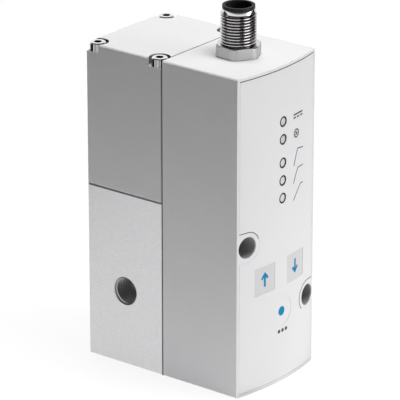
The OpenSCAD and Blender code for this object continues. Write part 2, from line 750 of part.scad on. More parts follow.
module electronics_housing() color(HOUSING_GREY) difference() {
    union() {
        difference() {
            housing_form();
            box([-w2 + wall_t, front_y - CUT, floor_t], [w2 - wall_t, inner_back_y, body_h - roof_t]);
            translate([0, rebate_play, 0]) cover_space(cover_gap);
        }
        intersection() {
            housing_form();
            along_y(front_y - CUT, housing_back_y) for (h = HOLES) way_outline(h, 0);
        }
        for (p = POSTS) rod_y(post_r, board_back_y, inner_back_y + CUT, p.x, p.y);
    }
    for (h = HOLES) rod_y(way_r, front_y - CUT, housing_back_y + CUT, h.x, h.y);
    for (p = POSTS) tap_y(small_r, board_back_y, small_grip, p);
    for (s = HOUSING_SCREWS) rod_y(small_r + screw_play, inner_back_y - CUT, housing_back_y + CUT, s.x, s.y);
    rod_y(sensor_spigot_r + screw_play, inner_back_y - CUT, housing_back_y + CUT, 0, sensor_z);
    along_y(inner_back_y - CUT, housing_back_y + CUT) translate([0, pilot_flex_z])
        square([2 * pilot_flex_w, slot_h], center = true);
    rod_z(thread_r + screw_play, body_h - roof_t - CUT, body_h + CUT, 0, conn_y);
    rod_z(seal_r + seat_play, body_h - seal_t, body_h + CUT, 0, conn_y);
    // Grooves for the snap tabs of the front cover
    for (z = [floor_t, body_h - roof_t])
        box([-snap_w / 2 - screw_play, snap_end_y - snap_groove, z - snap_barb - screw_play],
            [snap_w / 2 + screw_play, snap_end_y + screw_play, z + snap_barb + screw_play]);
}

// Small pan head screw that points along +Y, its head seat at a given depth
module small_screw_y(x, z, seat, tip) difference() {
    union() {
        rod_y(small_r, seat - CUT, tip, x, z);
        rod_y(small_head_r, seat - small_head_h, seat, x, z);
    }
    translate([x, seat - small_head_h / 2, z]) rotate([90, 0, 0])
        cylinder(d = small_socket / cos(30), h = small_head_h, $fn = 6);
}

module housing_screws() color(STEEL)
    for (s = HOUSING_SCREWS) small_screw_y(s.x, s.y, inner_back_y, seam_y + small_grip);

// Pressure sensor: its spigot reaches through both walls into the outlet passage
module pressure_sensor() color(STEEL) difference() {
    union() {
        rod_y(sensor_spigot_r, inner_back_y - CUT, seam_y + sensor_spigot - tip_room, 0, sensor_z);
        rod_y(sensor_r, inner_back_y - sensor_flange_t, inner_back_y, 0, sensor_z);
        rod_y(sensor_can_r, inner_back_y - sensor_h, inner_back_y - CUT, 0, sensor_z);
    }
    rod_y(passage_r, inner_back_y - CUT, seam_y + sensor_spigot, 0, sensor_z);
    translate([0, seam_y + sensor_spigot / 2, sensor_z]) rotate([90, 0, 0])
        rotate_extrude() translate([sensor_spigot_r, 0]) square(ring_wire * 2, center = true);
}

module sensor_o_ring() color(RUBBER) translate([0, seam_y + sensor_spigot / 2, sensor_z]) rotate([90, 0, 0])
    o_ring(sensor_spigot_r + seat_play - ring_wire / 2 - ring_squeeze, ring_wire / 2, 0);

module sensor_leads() color(BRASS) for (sx = [-1, 1], sz = [-1, 1])
    translate([sx, 0, sz] * sensor_can_r / 2)
        rod_y(lead_r, board_back_y, inner_back_y - sensor_h, 0, sensor_z);

// Front cover and keys

// Outline of a key opening, grown by a given margin
module key_outline(k, grow) translate(KEYS[k]) {
    if (k == 2) circle(r = round_key_r + grow);
    else rounded_square(key_w + 2 * grow, key_corner + grow);
}

// Tab that springs into a groove of the housing's floor or roof
module snap_tab(inner, up) {
    y0 = front_y + front_cover_t / 2;
    y1 = snap_end_y;
    barb_y = y1 - snap_lead;
    z0 = inner - up * screw_play;
    along_x(-snap_w / 2, snap_w / 2)
        polygon([[y0, z0], [barb_y - snap_barb, z0], [barb_y, z0 + up * snap_barb], [y1, z0],
            [y1, z0 - up * snap_t], [y0, z0 - up * snap_t]]);
}

module front_cover() color(PANEL_GREY) {
    difference() {
        intersection() {
            cover_space(0);
            behind_front(0);
        }
        along_y(front_y - CUT, cover_back_y) {
            for (h = HOLES) way_outline(h, cover_gap);
            for (z = LAMPS) translate([lamp_x, z]) circle(r = lamp_hole_r);
            for (k = [0:2]) key_outline(k, 0);
        }
    }
    intersection() {
        union() {
            snap_tab(floor_t, -1);
            snap_tab(body_h - roof_t, 1);
        }
        behind_front(front_cover_t / 2);
    }
}

// Key cap with a lip behind the cover; both follow the bulge
module key_cap(k) color(KEY_GREY) {
    intersection() {
        along_y(front_y - CUT, key_back_y) key_outline(k, -key_gap);
        behind_front(key_recess);
    }
    intersection() {
        along_y(front_y - CUT, key_back_y) key_outline(k, key_lip);
        behind_front(front_cover_t + key_lift);
    }
}

module up_key() key_cap(0);
module down_key() key_cap(1);
module round_key() key_cap(2);

// Push switch on the circuit board, with the well for its stem
module switch_body(k) color(BLACK) difference() {
    along_y(switch_front_y, board_y) translate(KEYS[k]) square(switch_w, center = true);
    rod_y(switch_stem_r + switch_play, switch_front_y - CUT, switch_front_y + switch_well, KEYS[k].x,
        KEYS[k].y);
}

module up_switch() switch_body(0);
module down_switch() switch_body(1);
module round_switch() switch_body(2);

// Stem of a push switch: the key rests on it and pushes it into its well
module switch_stem(k) color(KEY_GREY) {
    stem_end_y = switch_front_y + switch_well - key_travel - seat_play;
    rod_y(switch_stem_r, key_back_y, stem_end_y, KEYS[k].x, KEYS[k].y);
}

module up_stem() switch_stem(0);
module down_stem() switch_stem(1);
module round_stem() switch_stem(2);

// Black bar that holds the five lamps between circuit board and cover
module lamp_spacer() color(BLACK) difference() {
    box([lamp_x - spacer_x, spacer_front_y, LAMPS[4] - spacer_end],
        [lamp_x + spacer_x, board_y, LAMPS[0] + spacer_end]);
    for (z = LAMPS) {
        rod_y(lamp_r + lamp_play, spacer_front_y - CUT, board_y + CUT, lamp_x, z);
        rod_y(lamp_hole_r + lamp_play, board_y - lamp_foot_t - lamp_play, board_y + CUT, lamp_x, z);
    }
}

// Lamp: lens with a foot on the circuit board, its tip follows the bulge
module lamp(i) color(LENS) intersection() {
    union() {
        rod_y(lamp_r, front_y - CUT, board_y, lamp_x, LAMPS[i]);
        rod_y(lamp_hole_r, board_y - lamp_foot_t, board_y, lamp_x, LAMPS[i]);
    }
    behind_front(lamp_recess);
}

module lamp_1() lamp(0);
module lamp_2() lamp(1);
module lamp_3() lamp(2);
module lamp_4() lamp(3);
module lamp_5() lamp(4);

// Circuit board

module circuit_board() color(BOARD_GREEN) along_y(board_y, board_back_y) difference() {
    translate([-board_x, board_z0]) square([2 * board_x, board_z1 - board_z0]);
    for (h = HOLES) way_outline(h, board_way_gap);
    for (p = POSTS) translate(p) circle(r = small_r + screw_play);
}

module board_screws() color(STEEL)
    for (p = POSTS) small_screw_y(p.x, p.y, board_y, board_back_y + small_grip);

// Sockets on the back of the circuit board for the two flat leads
module board_headers() color(BLACK) for (z = [connector_header_z, pilot_header_z])
    box([-header_w / 2, board_back_y, z], [header_w / 2, board_back_y + header_d, z + header_h]);

// Round connector

module hexagon(flats, z0, z1, turn) translate([0, conn_y, z0]) rotate(turn)
    cylinder(d = flats / cos(30), h = z1 - z0, $fn = 6);

// Hexagon with turned corners and a chamfer on its upper side
module turned_hexagon(flats, z0, z1, turn) intersection() {
    hexagon(flats, z0, z1, turn);
    rod_z(hex_corner_r, z0, z1, 0, conn_y);
    translate([0, conn_y, z0])
        cylinder(r1 = hex_edge_r + (z1 - z0) * hex_cone, r2 = hex_edge_r, h = z1 - z0);
}

module connector_shell() color(STEEL) difference() {
    union() {
        turned_hexagon(hex_flats, body_h, hex_top_z, hex_turn);
        rod_z(thread_r, hex_top_z - CUT, lead_z, 0, conn_y);
        translate([0, conn_y, lead_z])
            cylinder(r1 = thread_r, r2 = collar_r, h = thread_r - collar_r);
        rod_z(collar_r, lead_z, thread_top_z, 0, conn_y);
        rod_z(thread_r, carrier_end_z, body_h + CUT, 0, conn_y);
    }
    rod_z(carrier_r + seat_play, carrier_end_z - CUT, thread_top_z + CUT, 0, conn_y);
}

// Flat seal in a recess of the roof, under the hexagon
module connector_seal() color(RUBBER) difference() {
    rod_z(seal_r, body_h - seal_t, body_h, 0, conn_y);
    rod_z(thread_r + seat_play, body_h - seal_t - CUT, body_h + CUT, 0, conn_y);
}

module connector_nut() color(STEEL) difference() {
    hexagon(nut_flats, body_h - roof_t - lock_nut_t, body_h - roof_t, 0);
    rod_z(thread_r + thread_play, body_h - roof_t - lock_nut_t - CUT, body_h - roof_t + CUT, 0, conn_y);
}

// Contact carrier with its plug opening and the coding rib in it
module contact_carrier() color(BLACK) translate([0, conn_y, 0]) {
    difference() {
        union() {
            rod_z(carrier_r, carrier_end_z, carrier_top_z);
            rod_z(flange_r, thread_top_z, carrier_top_z);
        }
        rod_z(socket_r, socket_z, carrier_top_z + CUT);
        for (p = PINS) rod_z(pin_r + thread_play, carrier_end_z - CUT, socket_z + CUT, p.x, p.y);
    }
    intersection() {
        box([-rib_w / 2, socket_r - rib_h, socket_z], [rib_w / 2, carrier_r, carrier_top_z - rib_drop]);
        rod_z((socket_r + carrier_r) / 2, socket_z, carrier_top_z);
    }
}

module contact_pins() color(BRASS) translate([0, conn_y, 0])
    for (p = PINS) {
        rod_z(pin_r, carrier_end_z - pin_tail, carrier_top_z - pin_tip - pin_r, p.x, p.y);
        translate([p.x, p.y, carrier_top_z - pin_tip - pin_r])
            cylinder(r1 = pin_r, r2 = pin_r / 2, h = pin_r);
    }

// Small round board that the pins are soldered to
module connector_board() color(BOARD_GREEN) translate([0, conn_y, 0]) difference() {
    rod_z(rear_board_r, rear_board_z, rear_board_z + rear_board_t);
    for (p = PINS) rod_z(pin_r + thread_play, rear_board_z - CUT, rear_board_z + CUT, p.x, p.y);
}

// Flat lead from the connector's board, bent down into its header
module connector_flex() color(FLEX_AMBER) along_x(-header_w / 3, header_w / 3) {
    leg_y = conn_y - pin_circle_r - pin_r - tip_room;
    bend_y = flex_y + flex_t / 2 + flex_bend;
    bend_z = rear_board_z - flex_t - flex_bend;
    translate([bend_y, rear_board_z - flex_t]) square([leg_y - bend_y, flex_t]);
    intersection() {
        difference() {
            translate([bend_y, bend_z]) circle(r = flex_bend + flex_t);
            translate([bend_y, bend_z]) circle(r = flex_bend);
        }
        translate([bend_y - flex_bend - flex_t, bend_z]) square(flex_bend + flex_t);
    }
    translate([flex_y - flex_t / 2, connector_header_z + header_h])
        square([flex_t, bend_z - connector_header_z - header_h]);
}

// Flat lead from the two solenoids, through the seam, into its header
module pilot_flex() color(FLEX_AMBER)
    box([-pilot_flex_w + screw_play, board_back_y + header_d, pilot_flex_z - flex_t / 2],
        [pilot_flex_w - screw_play, axis_y - yoke_r - seat_play, pilot_flex_z + flex_t / 2]);

valve_body();
valve_seat();
seat_o_ring();
guide_o_ring();
poppet();
poppet_facing();
poppet_spring();
piston();
piston_o_ring();
body_gasket();
pilot_cover();
corner_screws();
pilot_block();
pilot_block_screws();
feed_plug();
feed_yoke();
feed_coil();
feed_core();
feed_armature();
feed_spring();
vent_yoke();
vent_coil();
vent_core();
vent_armature();
vent_spring();
seam_gasket();
electronics_housing();
housing_screws();
pressure_sensor();
sensor_o_ring();
sensor_leads();
front_cover();
up_key();
down_key();
round_key();
up_switch();
down_switch();
round_switch();
up_stem();
down_stem();
round_stem();
lamp_spacer();
lamp_1();
lamp_2();
lamp_3();
lamp_4();
lamp_5();
circuit_board();
board_screws();
board_headers();
connector_shell();
connector_seal();
connector_nut();
contact_carrier();
contact_pins();
connector_board();
connector_flex();
pilot_flex();
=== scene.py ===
# %% [markdown]
# # Dressing an electro pneumatic regulator
# The regulator is a narrow box that turns an electric signal into an air pressure.
# Its solids already exist: a blasted aluminium valve body, a pilot cover above it, an
# electronics housing in front, and a round threaded connector on top.
# This lesson gives them their finishes, cuts the visible threads and prints the panel.
# The solids are loaded as a fixed frame, so every new piece is placed by their own sizes.

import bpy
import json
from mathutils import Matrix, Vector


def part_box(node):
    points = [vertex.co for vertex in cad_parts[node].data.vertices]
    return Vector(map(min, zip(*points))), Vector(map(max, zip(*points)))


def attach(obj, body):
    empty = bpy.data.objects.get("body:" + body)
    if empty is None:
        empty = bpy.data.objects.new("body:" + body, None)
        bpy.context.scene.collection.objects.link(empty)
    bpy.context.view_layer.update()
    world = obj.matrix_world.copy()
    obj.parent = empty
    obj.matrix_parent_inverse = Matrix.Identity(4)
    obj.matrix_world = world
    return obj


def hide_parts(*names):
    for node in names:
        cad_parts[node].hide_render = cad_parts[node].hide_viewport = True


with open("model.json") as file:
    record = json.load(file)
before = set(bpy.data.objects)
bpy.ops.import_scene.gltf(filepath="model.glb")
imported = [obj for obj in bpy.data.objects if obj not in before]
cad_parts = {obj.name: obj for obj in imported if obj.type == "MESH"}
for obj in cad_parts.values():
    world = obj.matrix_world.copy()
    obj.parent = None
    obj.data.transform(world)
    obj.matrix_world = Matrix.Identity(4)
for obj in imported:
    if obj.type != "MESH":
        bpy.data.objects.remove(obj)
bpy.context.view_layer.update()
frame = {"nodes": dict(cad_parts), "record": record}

# %% [markdown]
# ## Measures that come back later
# Everything is in metres, so a small factor keeps the numbers readable as millimetres.
# Places are read from the solids' boxes. Only what a box can't tell, such as the bulge of
# the front, is written down.

# %% Shared measures
import json
import math

import bmesh
import bpy
from mathutils import Matrix, Vector

MM = 0.001
mounts = {m["name"]: m for m in frame["record"]["mounts"]}


def middle(node):
    low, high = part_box(node)
    return (low + high) / 2


body_low, body_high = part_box("valve_body")
roof_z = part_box("electronics_housing")[1].z
front_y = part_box("front_cover")[0].y
half_width = body_high.x
bulge = 2.5 * MM
bulge_radius = (half_width ** 2 + bulge ** 2) / (2 * bulge)
bulge_centre = front_y + bulge_radius
print("roof at", round(roof_z / MM, 2), "mm, front at", round(front_y / MM, 2), "mm")

# %% [markdown]
# ## The camera
# The photograph was taken from the front left, a little above, with a long lens: edges that
# run away from the viewer hardly converge. A camera with a long focal length at some distance
# gives the same look. The angles were fitted to the corners of the housings.

# %% Camera
scene = bpy.context.scene
azimuth, elevation = math.radians(-51.785), math.radians(20.846)
aim, distance = Vector((0, 0, 56 * MM)), 1182.7 * MM
shift_left, shift_up = 1.064 * MM, 1.225 * MM
focal_length, sensor_width = 316.4, 36


def show(name, data):
    thing = bpy.data.objects.new(name, data)
    scene.collection.objects.link(thing)
    return thing


back = Vector((math.sin(azimuth) * math.cos(elevation),
               -math.cos(azimuth) * math.cos(elevation), math.sin(elevation)))
right = Vector((0, 0, 1)).cross(back).normalized()
up = back.cross(right)
lens = bpy.data.cameras.new("camera")
lens.lens = focal_length
lens.sensor_width = sensor_width
camera = show("camera", lens)
camera.matrix_world = Matrix((right, up, back)).transposed().to_4x4()
camera.location = aim + back * distance - right * shift_left + up * shift_up
scene.camera = camera
print("camera at", [round(c, 3) for c in camera.location])

# %% [markdown]
# ## Placing nodes
# Materials are graphs of nodes. A short helper adds a node, sets its options and fills its
# inputs: a value is written into the socket, a socket is linked to it. That keeps each
# finish readable as a list of what it is made of. A new material starts as an empty graph.

# %% Helpers for nodes
def place(tree, kind, inputs=None, **options):
    node = tree.nodes.new(kind)
    for name, value in options.items():
        setattr(node, name, value)
    for name, value in (inputs or {}).items():
        if isinstance(value, bpy.types.NodeSocket):
            tree.links.new(value, node.inputs[name])
        else:
            node.inputs[name].default_value = value
    return node


def empty_tree(owner):
    owner.use_nodes = True
    owner.node_tree.nodes.clear()
    return owner.node_tree


print("every node is placed by one helper")

# %% [markdown]
# ## Sums with nodes
# A finish is full of small sums: how far is this point from an axis, which way does it face,
# how much of the darker tone does it take? One line each is enough for a sum of numbers or
# of places, for taking a place apart, for stretching a range of values to another, and
# for blending two colours by a mask.

# %% Helpers for sums
def scalar_math(tree, operation, *values):
    return place(tree, "ShaderNodeMath", dict(enumerate(values)), operation=operation).outputs[0]


def vector_math(tree, operation, *values):
    node = place(tree, "ShaderNodeVectorMath", dict(enumerate(values)), operation=operation)
    return node.outputs["Value" if operation in ("LENGTH", "DISTANCE") else "Vector"]


def split(tree, vector):
    return place(tree, "ShaderNodeSeparateXYZ", {0: vector}).outputs[:]


def stretch(tree, value, low, high, new_low=0.0, new_high=1.0, kind="LINEAR"):
    sockets = {"Value": value, 1: low, 2: high, 3: new_low, 4: new_high}
    return place(tree, "ShaderNodeMapRange", sockets, interpolation_type=kind).outputs[0]


def blend(tree, mask, under, over):
    sockets = {0: mask, 6: under, 7: over}
    return place(tree, "ShaderNodeMix", sockets, data_type="RGBA").outputs[2]


def object_place(tree):
    return place(tree, "ShaderNodeTexCoord").outputs["Object"]


def surface_normal(tree):
    return place(tree, "ShaderNodeNewGeometry").outputs["Normal"]


print("sums take one line each")

# %% [markdown]
# ## The studio
# A product photo on white has a bright floor that runs into a bright background.
# What the camera and the polished metal see may be plain white, while the light that falls
# on the object stays at a normal level: Light Path tells the two apart.
# Overhead the mirrored world is dark, because only then do the flanks of a bright
# thread show their lines.

# %% White for the camera, dim for the object
WHITE = (1, 1, 1, 1)
scene.view_settings.view_transform = "Standard"
fill_colour, fill_level = (0.97, 0.98, 1, 1), 0.04
dark_colour, white_until, dark_from = (0.06, 0.06, 0.065, 1), 0.42, 0.62


def seen_directly(tree):
    path = place(tree, "ShaderNodeLightPath").outputs
    sharp = scalar_math(tree, "MAXIMUM", path["Is Camera Ray"], path["Is Glossy Ray"])
    return scalar_math(tree, "MAXIMUM", sharp, path["Is Transmission Ray"])


world = bpy.data.worlds.new("studio")
scene.world = world
sky = empty_tree(world)
direction = place(sky, "ShaderNodeTexCoord").outputs["Generated"]
shade = place(sky, "ShaderNodeValToRGB", {0: split(sky, direction)[2]})
horizon, overhead = shade.color_ramp.elements
horizon.position, horizon.color = white_until, WHITE
overhead.position, overhead.color = dark_from, dark_colour
shown = place(sky, "ShaderNodeBackground", {"Color": shade.outputs["Color"], "Strength": 1.0})
fill = place(sky, "ShaderNodeBackground", {"Color": fill_colour, "Strength": fill_level})
choice = place(sky, "ShaderNodeMixShader", {
    0: seen_directly(sky), 1: fill.outputs[0], 2: shown.outputs[0]})
place(sky, "ShaderNodeOutputWorld", {"Surface": choice.outputs[0]})
print("world: white at the horizon, dark overhead, fill", fill_level)

# %% [markdown]
# ## The floor
# The object stands on white paper, of which a photo shows little more than the soft shadow.
# Seen directly, the paper glows by itself and has a weak matt layer that takes the shadow.
# For the light that it throws back at the object it is plain matt paper.

# %% A pale floor that keeps the shadow
floor_radius, floor_drop, floor_edges = 3.0, 0.02 * MM, 96
paper_tone, shadow_tone, glow_level = 0.5, 0.15, 0.88


def build(name, shape):
    mesh = bpy.data.meshes.new(name)
    shape.to_mesh(mesh)
    shape.free()
    return show(name, mesh)


shape = bmesh.new()
bmesh.ops.create_circle(shape, cap_ends=True, segments=floor_edges, radius=floor_radius)
bmesh.ops.translate(shape, verts=shape.verts, vec=(0, 0, -floor_drop))
floor = build("studio_floor", shape)
paper = bpy.data.materials.new("studio_paper")
tree = empty_tree(paper)
matt = place(tree, "ShaderNodeBsdfDiffuse", {"Color": (*[paper_tone] * 3, 1)})
shadowed = place(tree, "ShaderNodeBsdfDiffuse", {"Color": (*[shadow_tone] * 3, 1)})
glow = place(tree, "ShaderNodeEmission", {"Color": WHITE, "Strength": glow_level})
lit = place(tree, "ShaderNodeAddShader", {0: shadowed.outputs[0], 1: glow.outputs[0]})
mix = place(tree, "ShaderNodeMixShader", {
    0: seen_directly(tree), 1: matt.outputs[0], 2: lit.outputs[0]})
place(tree, "ShaderNodeOutputMaterial", {"Surface": mix.outputs[0]})
floor.data.materials.append(paper)
print("floor of", floor_radius, "m radius")

# %% [markdown]
# ## The lamps
# A narrow lamp hangs straight above, a little to the right, so that the tops are bright and
# the left walls stay grey. A large square one stands at the front right and lights the
# panel. It is the only lamp that the metal mirrors. The bright floor also throws light back
# at the walls: two weak lamps that lie on the floor and look up stand in for that.

# %% Soft lamps
lamp_lift, look_up = 0.05 * MM, 0.4


def soft_lamp(name, spot, target, size, power, mirrored=False, tint=(1, 1, 1)):
    light = bpy.data.lights.new(name, "AREA")
    light.shape = "RECTANGLE"
    light.size, light.size_y = size
    light.energy = power
    light.color = tint
    lamp = show(name, light)
    lamp.location = spot
    lamp.rotation_euler = (Vector(target) - Vector(spot)).to_track_quat("-Z", "Y").to_euler()
    lamp.visible_camera = False
    lamp.visible_glossy = mirrored


def floor_lamp(name, x, y, **options):
    soft_lamp(name, (x, y, lamp_lift), (x, y, look_up), **options)


soft_lamp("overhead_lamp", spot=(0.1, -0.12, 1.0), target=(0.1, -0.12, 0), size=(0.3, 0.9),
          power=10.45)
soft_lamp("front_lamp", spot=(0.46, -1.04, 0.3), target=(0, 0, 0.05), size=(0.7, 0.7),
          power=8.05, mirrored=True)
floor_lamp("left_bounce", x=-0.0657, y=0.125, size=(0.09, 0.32), power=0.0725,
           tint=(1, 0.975, 1))
floor_lamp("front_bounce", x=0.0, y=-0.1632, size=(0.5, 0.26), power=0.275)
print("lamps: overhead, front right, and the bright floor beside the left and front walls")

# %% [markdown]
# ## Cards round the connector
# Polished metal shows nothing but its surroundings, so on a white table a plated thread would
# be white all over. Photographers stand cards round such a piece: dark ones draw dark
# stripes on it and make it look round, a white one gives it a bright stripe. These
# are seen by mirror reflections alone, so that they neither light nor shade the object.

# %% Cards that only mirrors see
plug = middle("contact_carrier")
card_reach, card_foot = 0.25, 0.001
cards = [("back_card", -152, 20, 0.02, 0.2), ("front_card", -30, 15, 0.03, 0.11),
         ("white_card", 4, 19, 2.4, 0.11), ("right_card", 52, 28, 0.02, 0.2)]
for name, bearing, spread, strength, top in cards:
    corners = []
    for side, z in ((-spread, card_foot), (spread, card_foot), (spread, top), (-spread, top)):
        angle = math.radians(bearing + side)
        corners.append((plug.x + card_reach * math.sin(angle),
                        plug.y - card_reach * math.cos(angle), z))
    mesh = bpy.data.meshes.new(name)
    mesh.from_pydata(corners, [], [(0, 1, 2, 3)])
    paint = bpy.data.materials.new(name)
    tree = empty_tree(paint)
    shine = place(tree, "ShaderNodeEmission", {"Color": WHITE, "Strength": strength})
    place(tree, "ShaderNodeOutputMaterial", {"Surface": shine.outputs[0]})
    paint.cycles.emission_sampling = "NONE"
    mesh.materials.append(paint)
    card = show(name, mesh)
    card.visible_camera = False
    card.visible_diffuse = False
    card.visible_transmission = False
    card.visible_shadow = False
print("cards", card_reach, "m from the connector:", [c[0] for c in cards])

# %% [markdown]
# ## Effects shared by the finishes
# Real surfaces are never one flat colour. Four effects return on most of them: a fine grain,
# a slow drift of tone, the lines that a turning tool leaves, and a painted shade on the walls
# of holes, where less light reaches. Each is a node group with named sockets, so
# that a finish only chooses its scale and strength.
# Grain and drift are noise of a small and a large size. The grain gives a height for the
# bump and a level for the roughness, the drift makes a colour a little lighter or darker.

# %% Groups for grain and drift
FLOAT, COLOR, VECTOR = "NodeSocketFloat", "NodeSocketColor", "NodeSocketVector"
NOISE_RANGE = (0.25, 0.75)


def new_group(name, inputs, outputs):
    group = bpy.data.node_groups.new(name, "ShaderNodeTree")
    for label, kind, value in inputs:
        socket = group.interface.new_socket(label, in_out="INPUT", socket_type=kind)
        socket.default_value = value
    for label, kind in outputs:
        group.interface.new_socket(label, in_out="OUTPUT", socket_type=kind)
    return group, place(group, "NodeGroupInput").outputs


grain, given = new_group(
    "fine_grain", [("Scale", FLOAT, 2000.0), ("Low", FLOAT, 0.4), ("High", FLOAT, 0.6)],
    [("Height", FLOAT), ("Level", FLOAT)])
speck = place(grain, "ShaderNodeTexNoise", {
    "Vector": object_place(grain), "Scale": given["Scale"], "Detail": 3.0, "Roughness": 0.6})
level = stretch(grain, speck.outputs[0], *NOISE_RANGE, given["Low"], given["High"])
place(grain, "NodeGroupOutput", {"Height": speck.outputs[0], "Level": level})

drift, given = new_group(
    "tone_drift", [("Color", COLOR, (0.5, 0.5, 0.5, 1)), ("Amount", FLOAT, 0.03),
                   ("Scale", FLOAT, 60.0)], [("Color", COLOR)])
cloud = place(drift, "ShaderNodeTexNoise", {
    "Vector": object_place(drift), "Scale": given["Scale"], "Detail": 4.0, "Roughness": 0.65})
swing = stretch(drift, cloud.outputs[0], *NOISE_RANGE, -1.0, 1.0)
gain = scalar_math(drift, "MULTIPLY_ADD", swing, given["Amount"], 1.0)
toned = place(drift, "ShaderNodeVectorMath", {0: given["Color"], "Scale": gain},
              operation="SCALE")
place(drift, "NodeGroupOutput", {"Color": toned.outputs[0]})
print("groups:", grain.name, drift.name)

# %% [markdown]
# ## Lines of the turning tool
# A lathe leaves fine rings round the axis of a piece. Noise along one line, read by the
# distance from the axis plus the height, gives such rings on a face and on a cylinder alike.
# The distance itself is handed out too, because it tells a thread's root from its crest.

# %% Group for turning lines
turned, given = new_group(
    "turning_lines", [("Axis", VECTOR, (0, 0, 0)), ("Lines", FLOAT, 9000.0),
                      ("Low", FLOAT, 0.1), ("High", FLOAT, 0.2)],
    [("Height", FLOAT), ("Level", FLOAT), ("Radius", FLOAT)])
x, y, z = split(turned, vector_math(turned, "SUBTRACT", object_place(turned), given["Axis"]))
flat = place(turned, "ShaderNodeCombineXYZ", {0: x, 1: y}).outputs[0]
radius = vector_math(turned, "LENGTH", flat)
along = scalar_math(turned, "ADD", radius, z)
line = scalar_math(turned, "MULTIPLY", along, given["Lines"])
mark = place(turned, "ShaderNodeTexNoise", {"W": line, "Scale": 1.0, "Detail": 2.0},
             noise_dimensions="1D")
level = stretch(turned, mark.outputs[0], *NOISE_RANGE, given["Low"], given["High"])
place(turned, "NodeGroupOutput", {"Height": mark.outputs[0], "Level": level, "Radius": radius})
print("group:", turned.name)

# %% [markdown]
# ## Painted shade on the walls of holes
# A point lies on the wall of a hole when it is well inside the outer shape of its solid.
# That shape is a box, or a box whose front is part of a large cylinder. The least distance
# from all its faces becomes the mask, which lays a painted shade on the walls. It can be kept
# to upright walls, which leaves the floors of open pockets as they are.

# %% Group for the painted shade of inner walls
LEVEL = (1, 1, 0)

# painted shade on the walls of holes, growing with the depth into the solid
inner, given = new_group(
    "painted_wall_shade", [("Centre", VECTOR, (0, 0, 0)), ("Half", VECTOR, (1, 1, 1)),
                   ("Bulge axis", VECTOR, (0, 0, 0)), ("Bulge radius", FLOAT, 1.0),
                   ("Begin", FLOAT, 0.2 * MM), ("End", FLOAT, 0.6 * MM),
                   ("Upright only", FLOAT, 0.0)], [("Mask", FLOAT)])
spot = object_place(inner)
away = vector_math(inner, "ABSOLUTE", vector_math(inner, "SUBTRACT", spot, given["Centre"]))
x, y, z = split(inner, vector_math(inner, "SUBTRACT", given["Half"], away))
least = scalar_math(inner, "MINIMUM", scalar_math(inner, "MINIMUM", x, y), z)
reach = vector_math(inner, "DISTANCE", vector_math(inner, "MULTIPLY", spot, LEVEL),
                    given["Bulge axis"])
below = scalar_math(inner, "SUBTRACT", given["Bulge radius"], reach)
least = scalar_math(inner, "MINIMUM", least, below)
mask = stretch(inner, least, given["Begin"], given["End"], kind="SMOOTHSTEP")
lying = scalar_math(inner, "ABSOLUTE", split(inner, surface_normal(inner))[2])
lying = scalar_math(inner, "MULTIPLY", lying, given["Upright only"])
upright = scalar_math(inner, "SUBTRACT", 1.0, lying)
place(inner, "NodeGroupOutput", {"Mask": scalar_math(inner, "MULTIPLY", mask, upright)})
print("group:", inner.name)

# %% [markdown]
# ## Masks of painted shade
# Some places of a solid take a painted shade. The walls of holes take it from the group
# above, and the faces that look to the front are found by the way they face. The four corner
# screws stand in a rectangle, so folding the places over its middle makes one screw of them: its
# socket lies near the axis and below the top, its knurled side far from the axis. The socket
# is painted dark as its shade, and the knurl as dark stripes of painted shade in its grooves.

# %% Masks of painted shade
knurl_teeth, tooth_begin, tooth_end = 36.0, 0.7, -0.3
shade_begin, shade_end = -0.05 * MM, -0.4 * MM
front_shade_begin, front_shade_end = -0.5, -0.9


# painted shade on the walls of holes, from the group above
def hole_shade_mask(tree, hollow):
    low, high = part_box(hollow)
    inputs = {"Centre": (low + high) / 2, "Half": (high - low) / 2}
    if hollow == "electronics_housing":
        inputs.update({"Bulge axis": (0, bulge_centre, 0), "Bulge radius": bulge_radius})
    if hollow == "pilot_cover":
        inputs.update({"Upright only": 1.0, "Begin": 0.0})
    return place(tree, "ShaderNodeGroup", inputs, node_tree=inner).outputs["Mask"]


# painted shade on the faces that look to the front
def front_shade_mask(tree):
    return stretch(tree, split(tree, surface_normal(tree))[1], front_shade_begin, front_shade_end)


# painted shade in the screw sockets and in the grooves of the knurl
def screw_shade_masks(tree, centre, offset, socket_reach, side_reach):
    folded = vector_math(tree, "ABSOLUTE",
                         vector_math(tree, "SUBTRACT", object_place(tree), centre))
    spot = vector_math(tree, "SUBTRACT", folded, offset)
    away = vector_math(tree, "LENGTH", vector_math(tree, "MULTIPLY", spot, LEVEL))
    x, y, z = split(tree, spot)
    deep = stretch(tree, z, shade_begin, shade_end)
    near = scalar_math(tree, "LESS_THAN", away, socket_reach)
    turn = scalar_math(tree, "MULTIPLY", scalar_math(tree, "ARCTAN2", y, x), knurl_teeth)
    tooth = stretch(tree, scalar_math(tree, "SINE", turn), tooth_begin, tooth_end)
    outer = scalar_math(tree, "GREATER_THAN", away, side_reach)
    knurl = scalar_math(tree, "MULTIPLY", outer, tooth)
    return [scalar_math(tree, "MULTIPLY", part, deep) for part in (near, knurl)]


print("masks for holes, rim and screw heads")
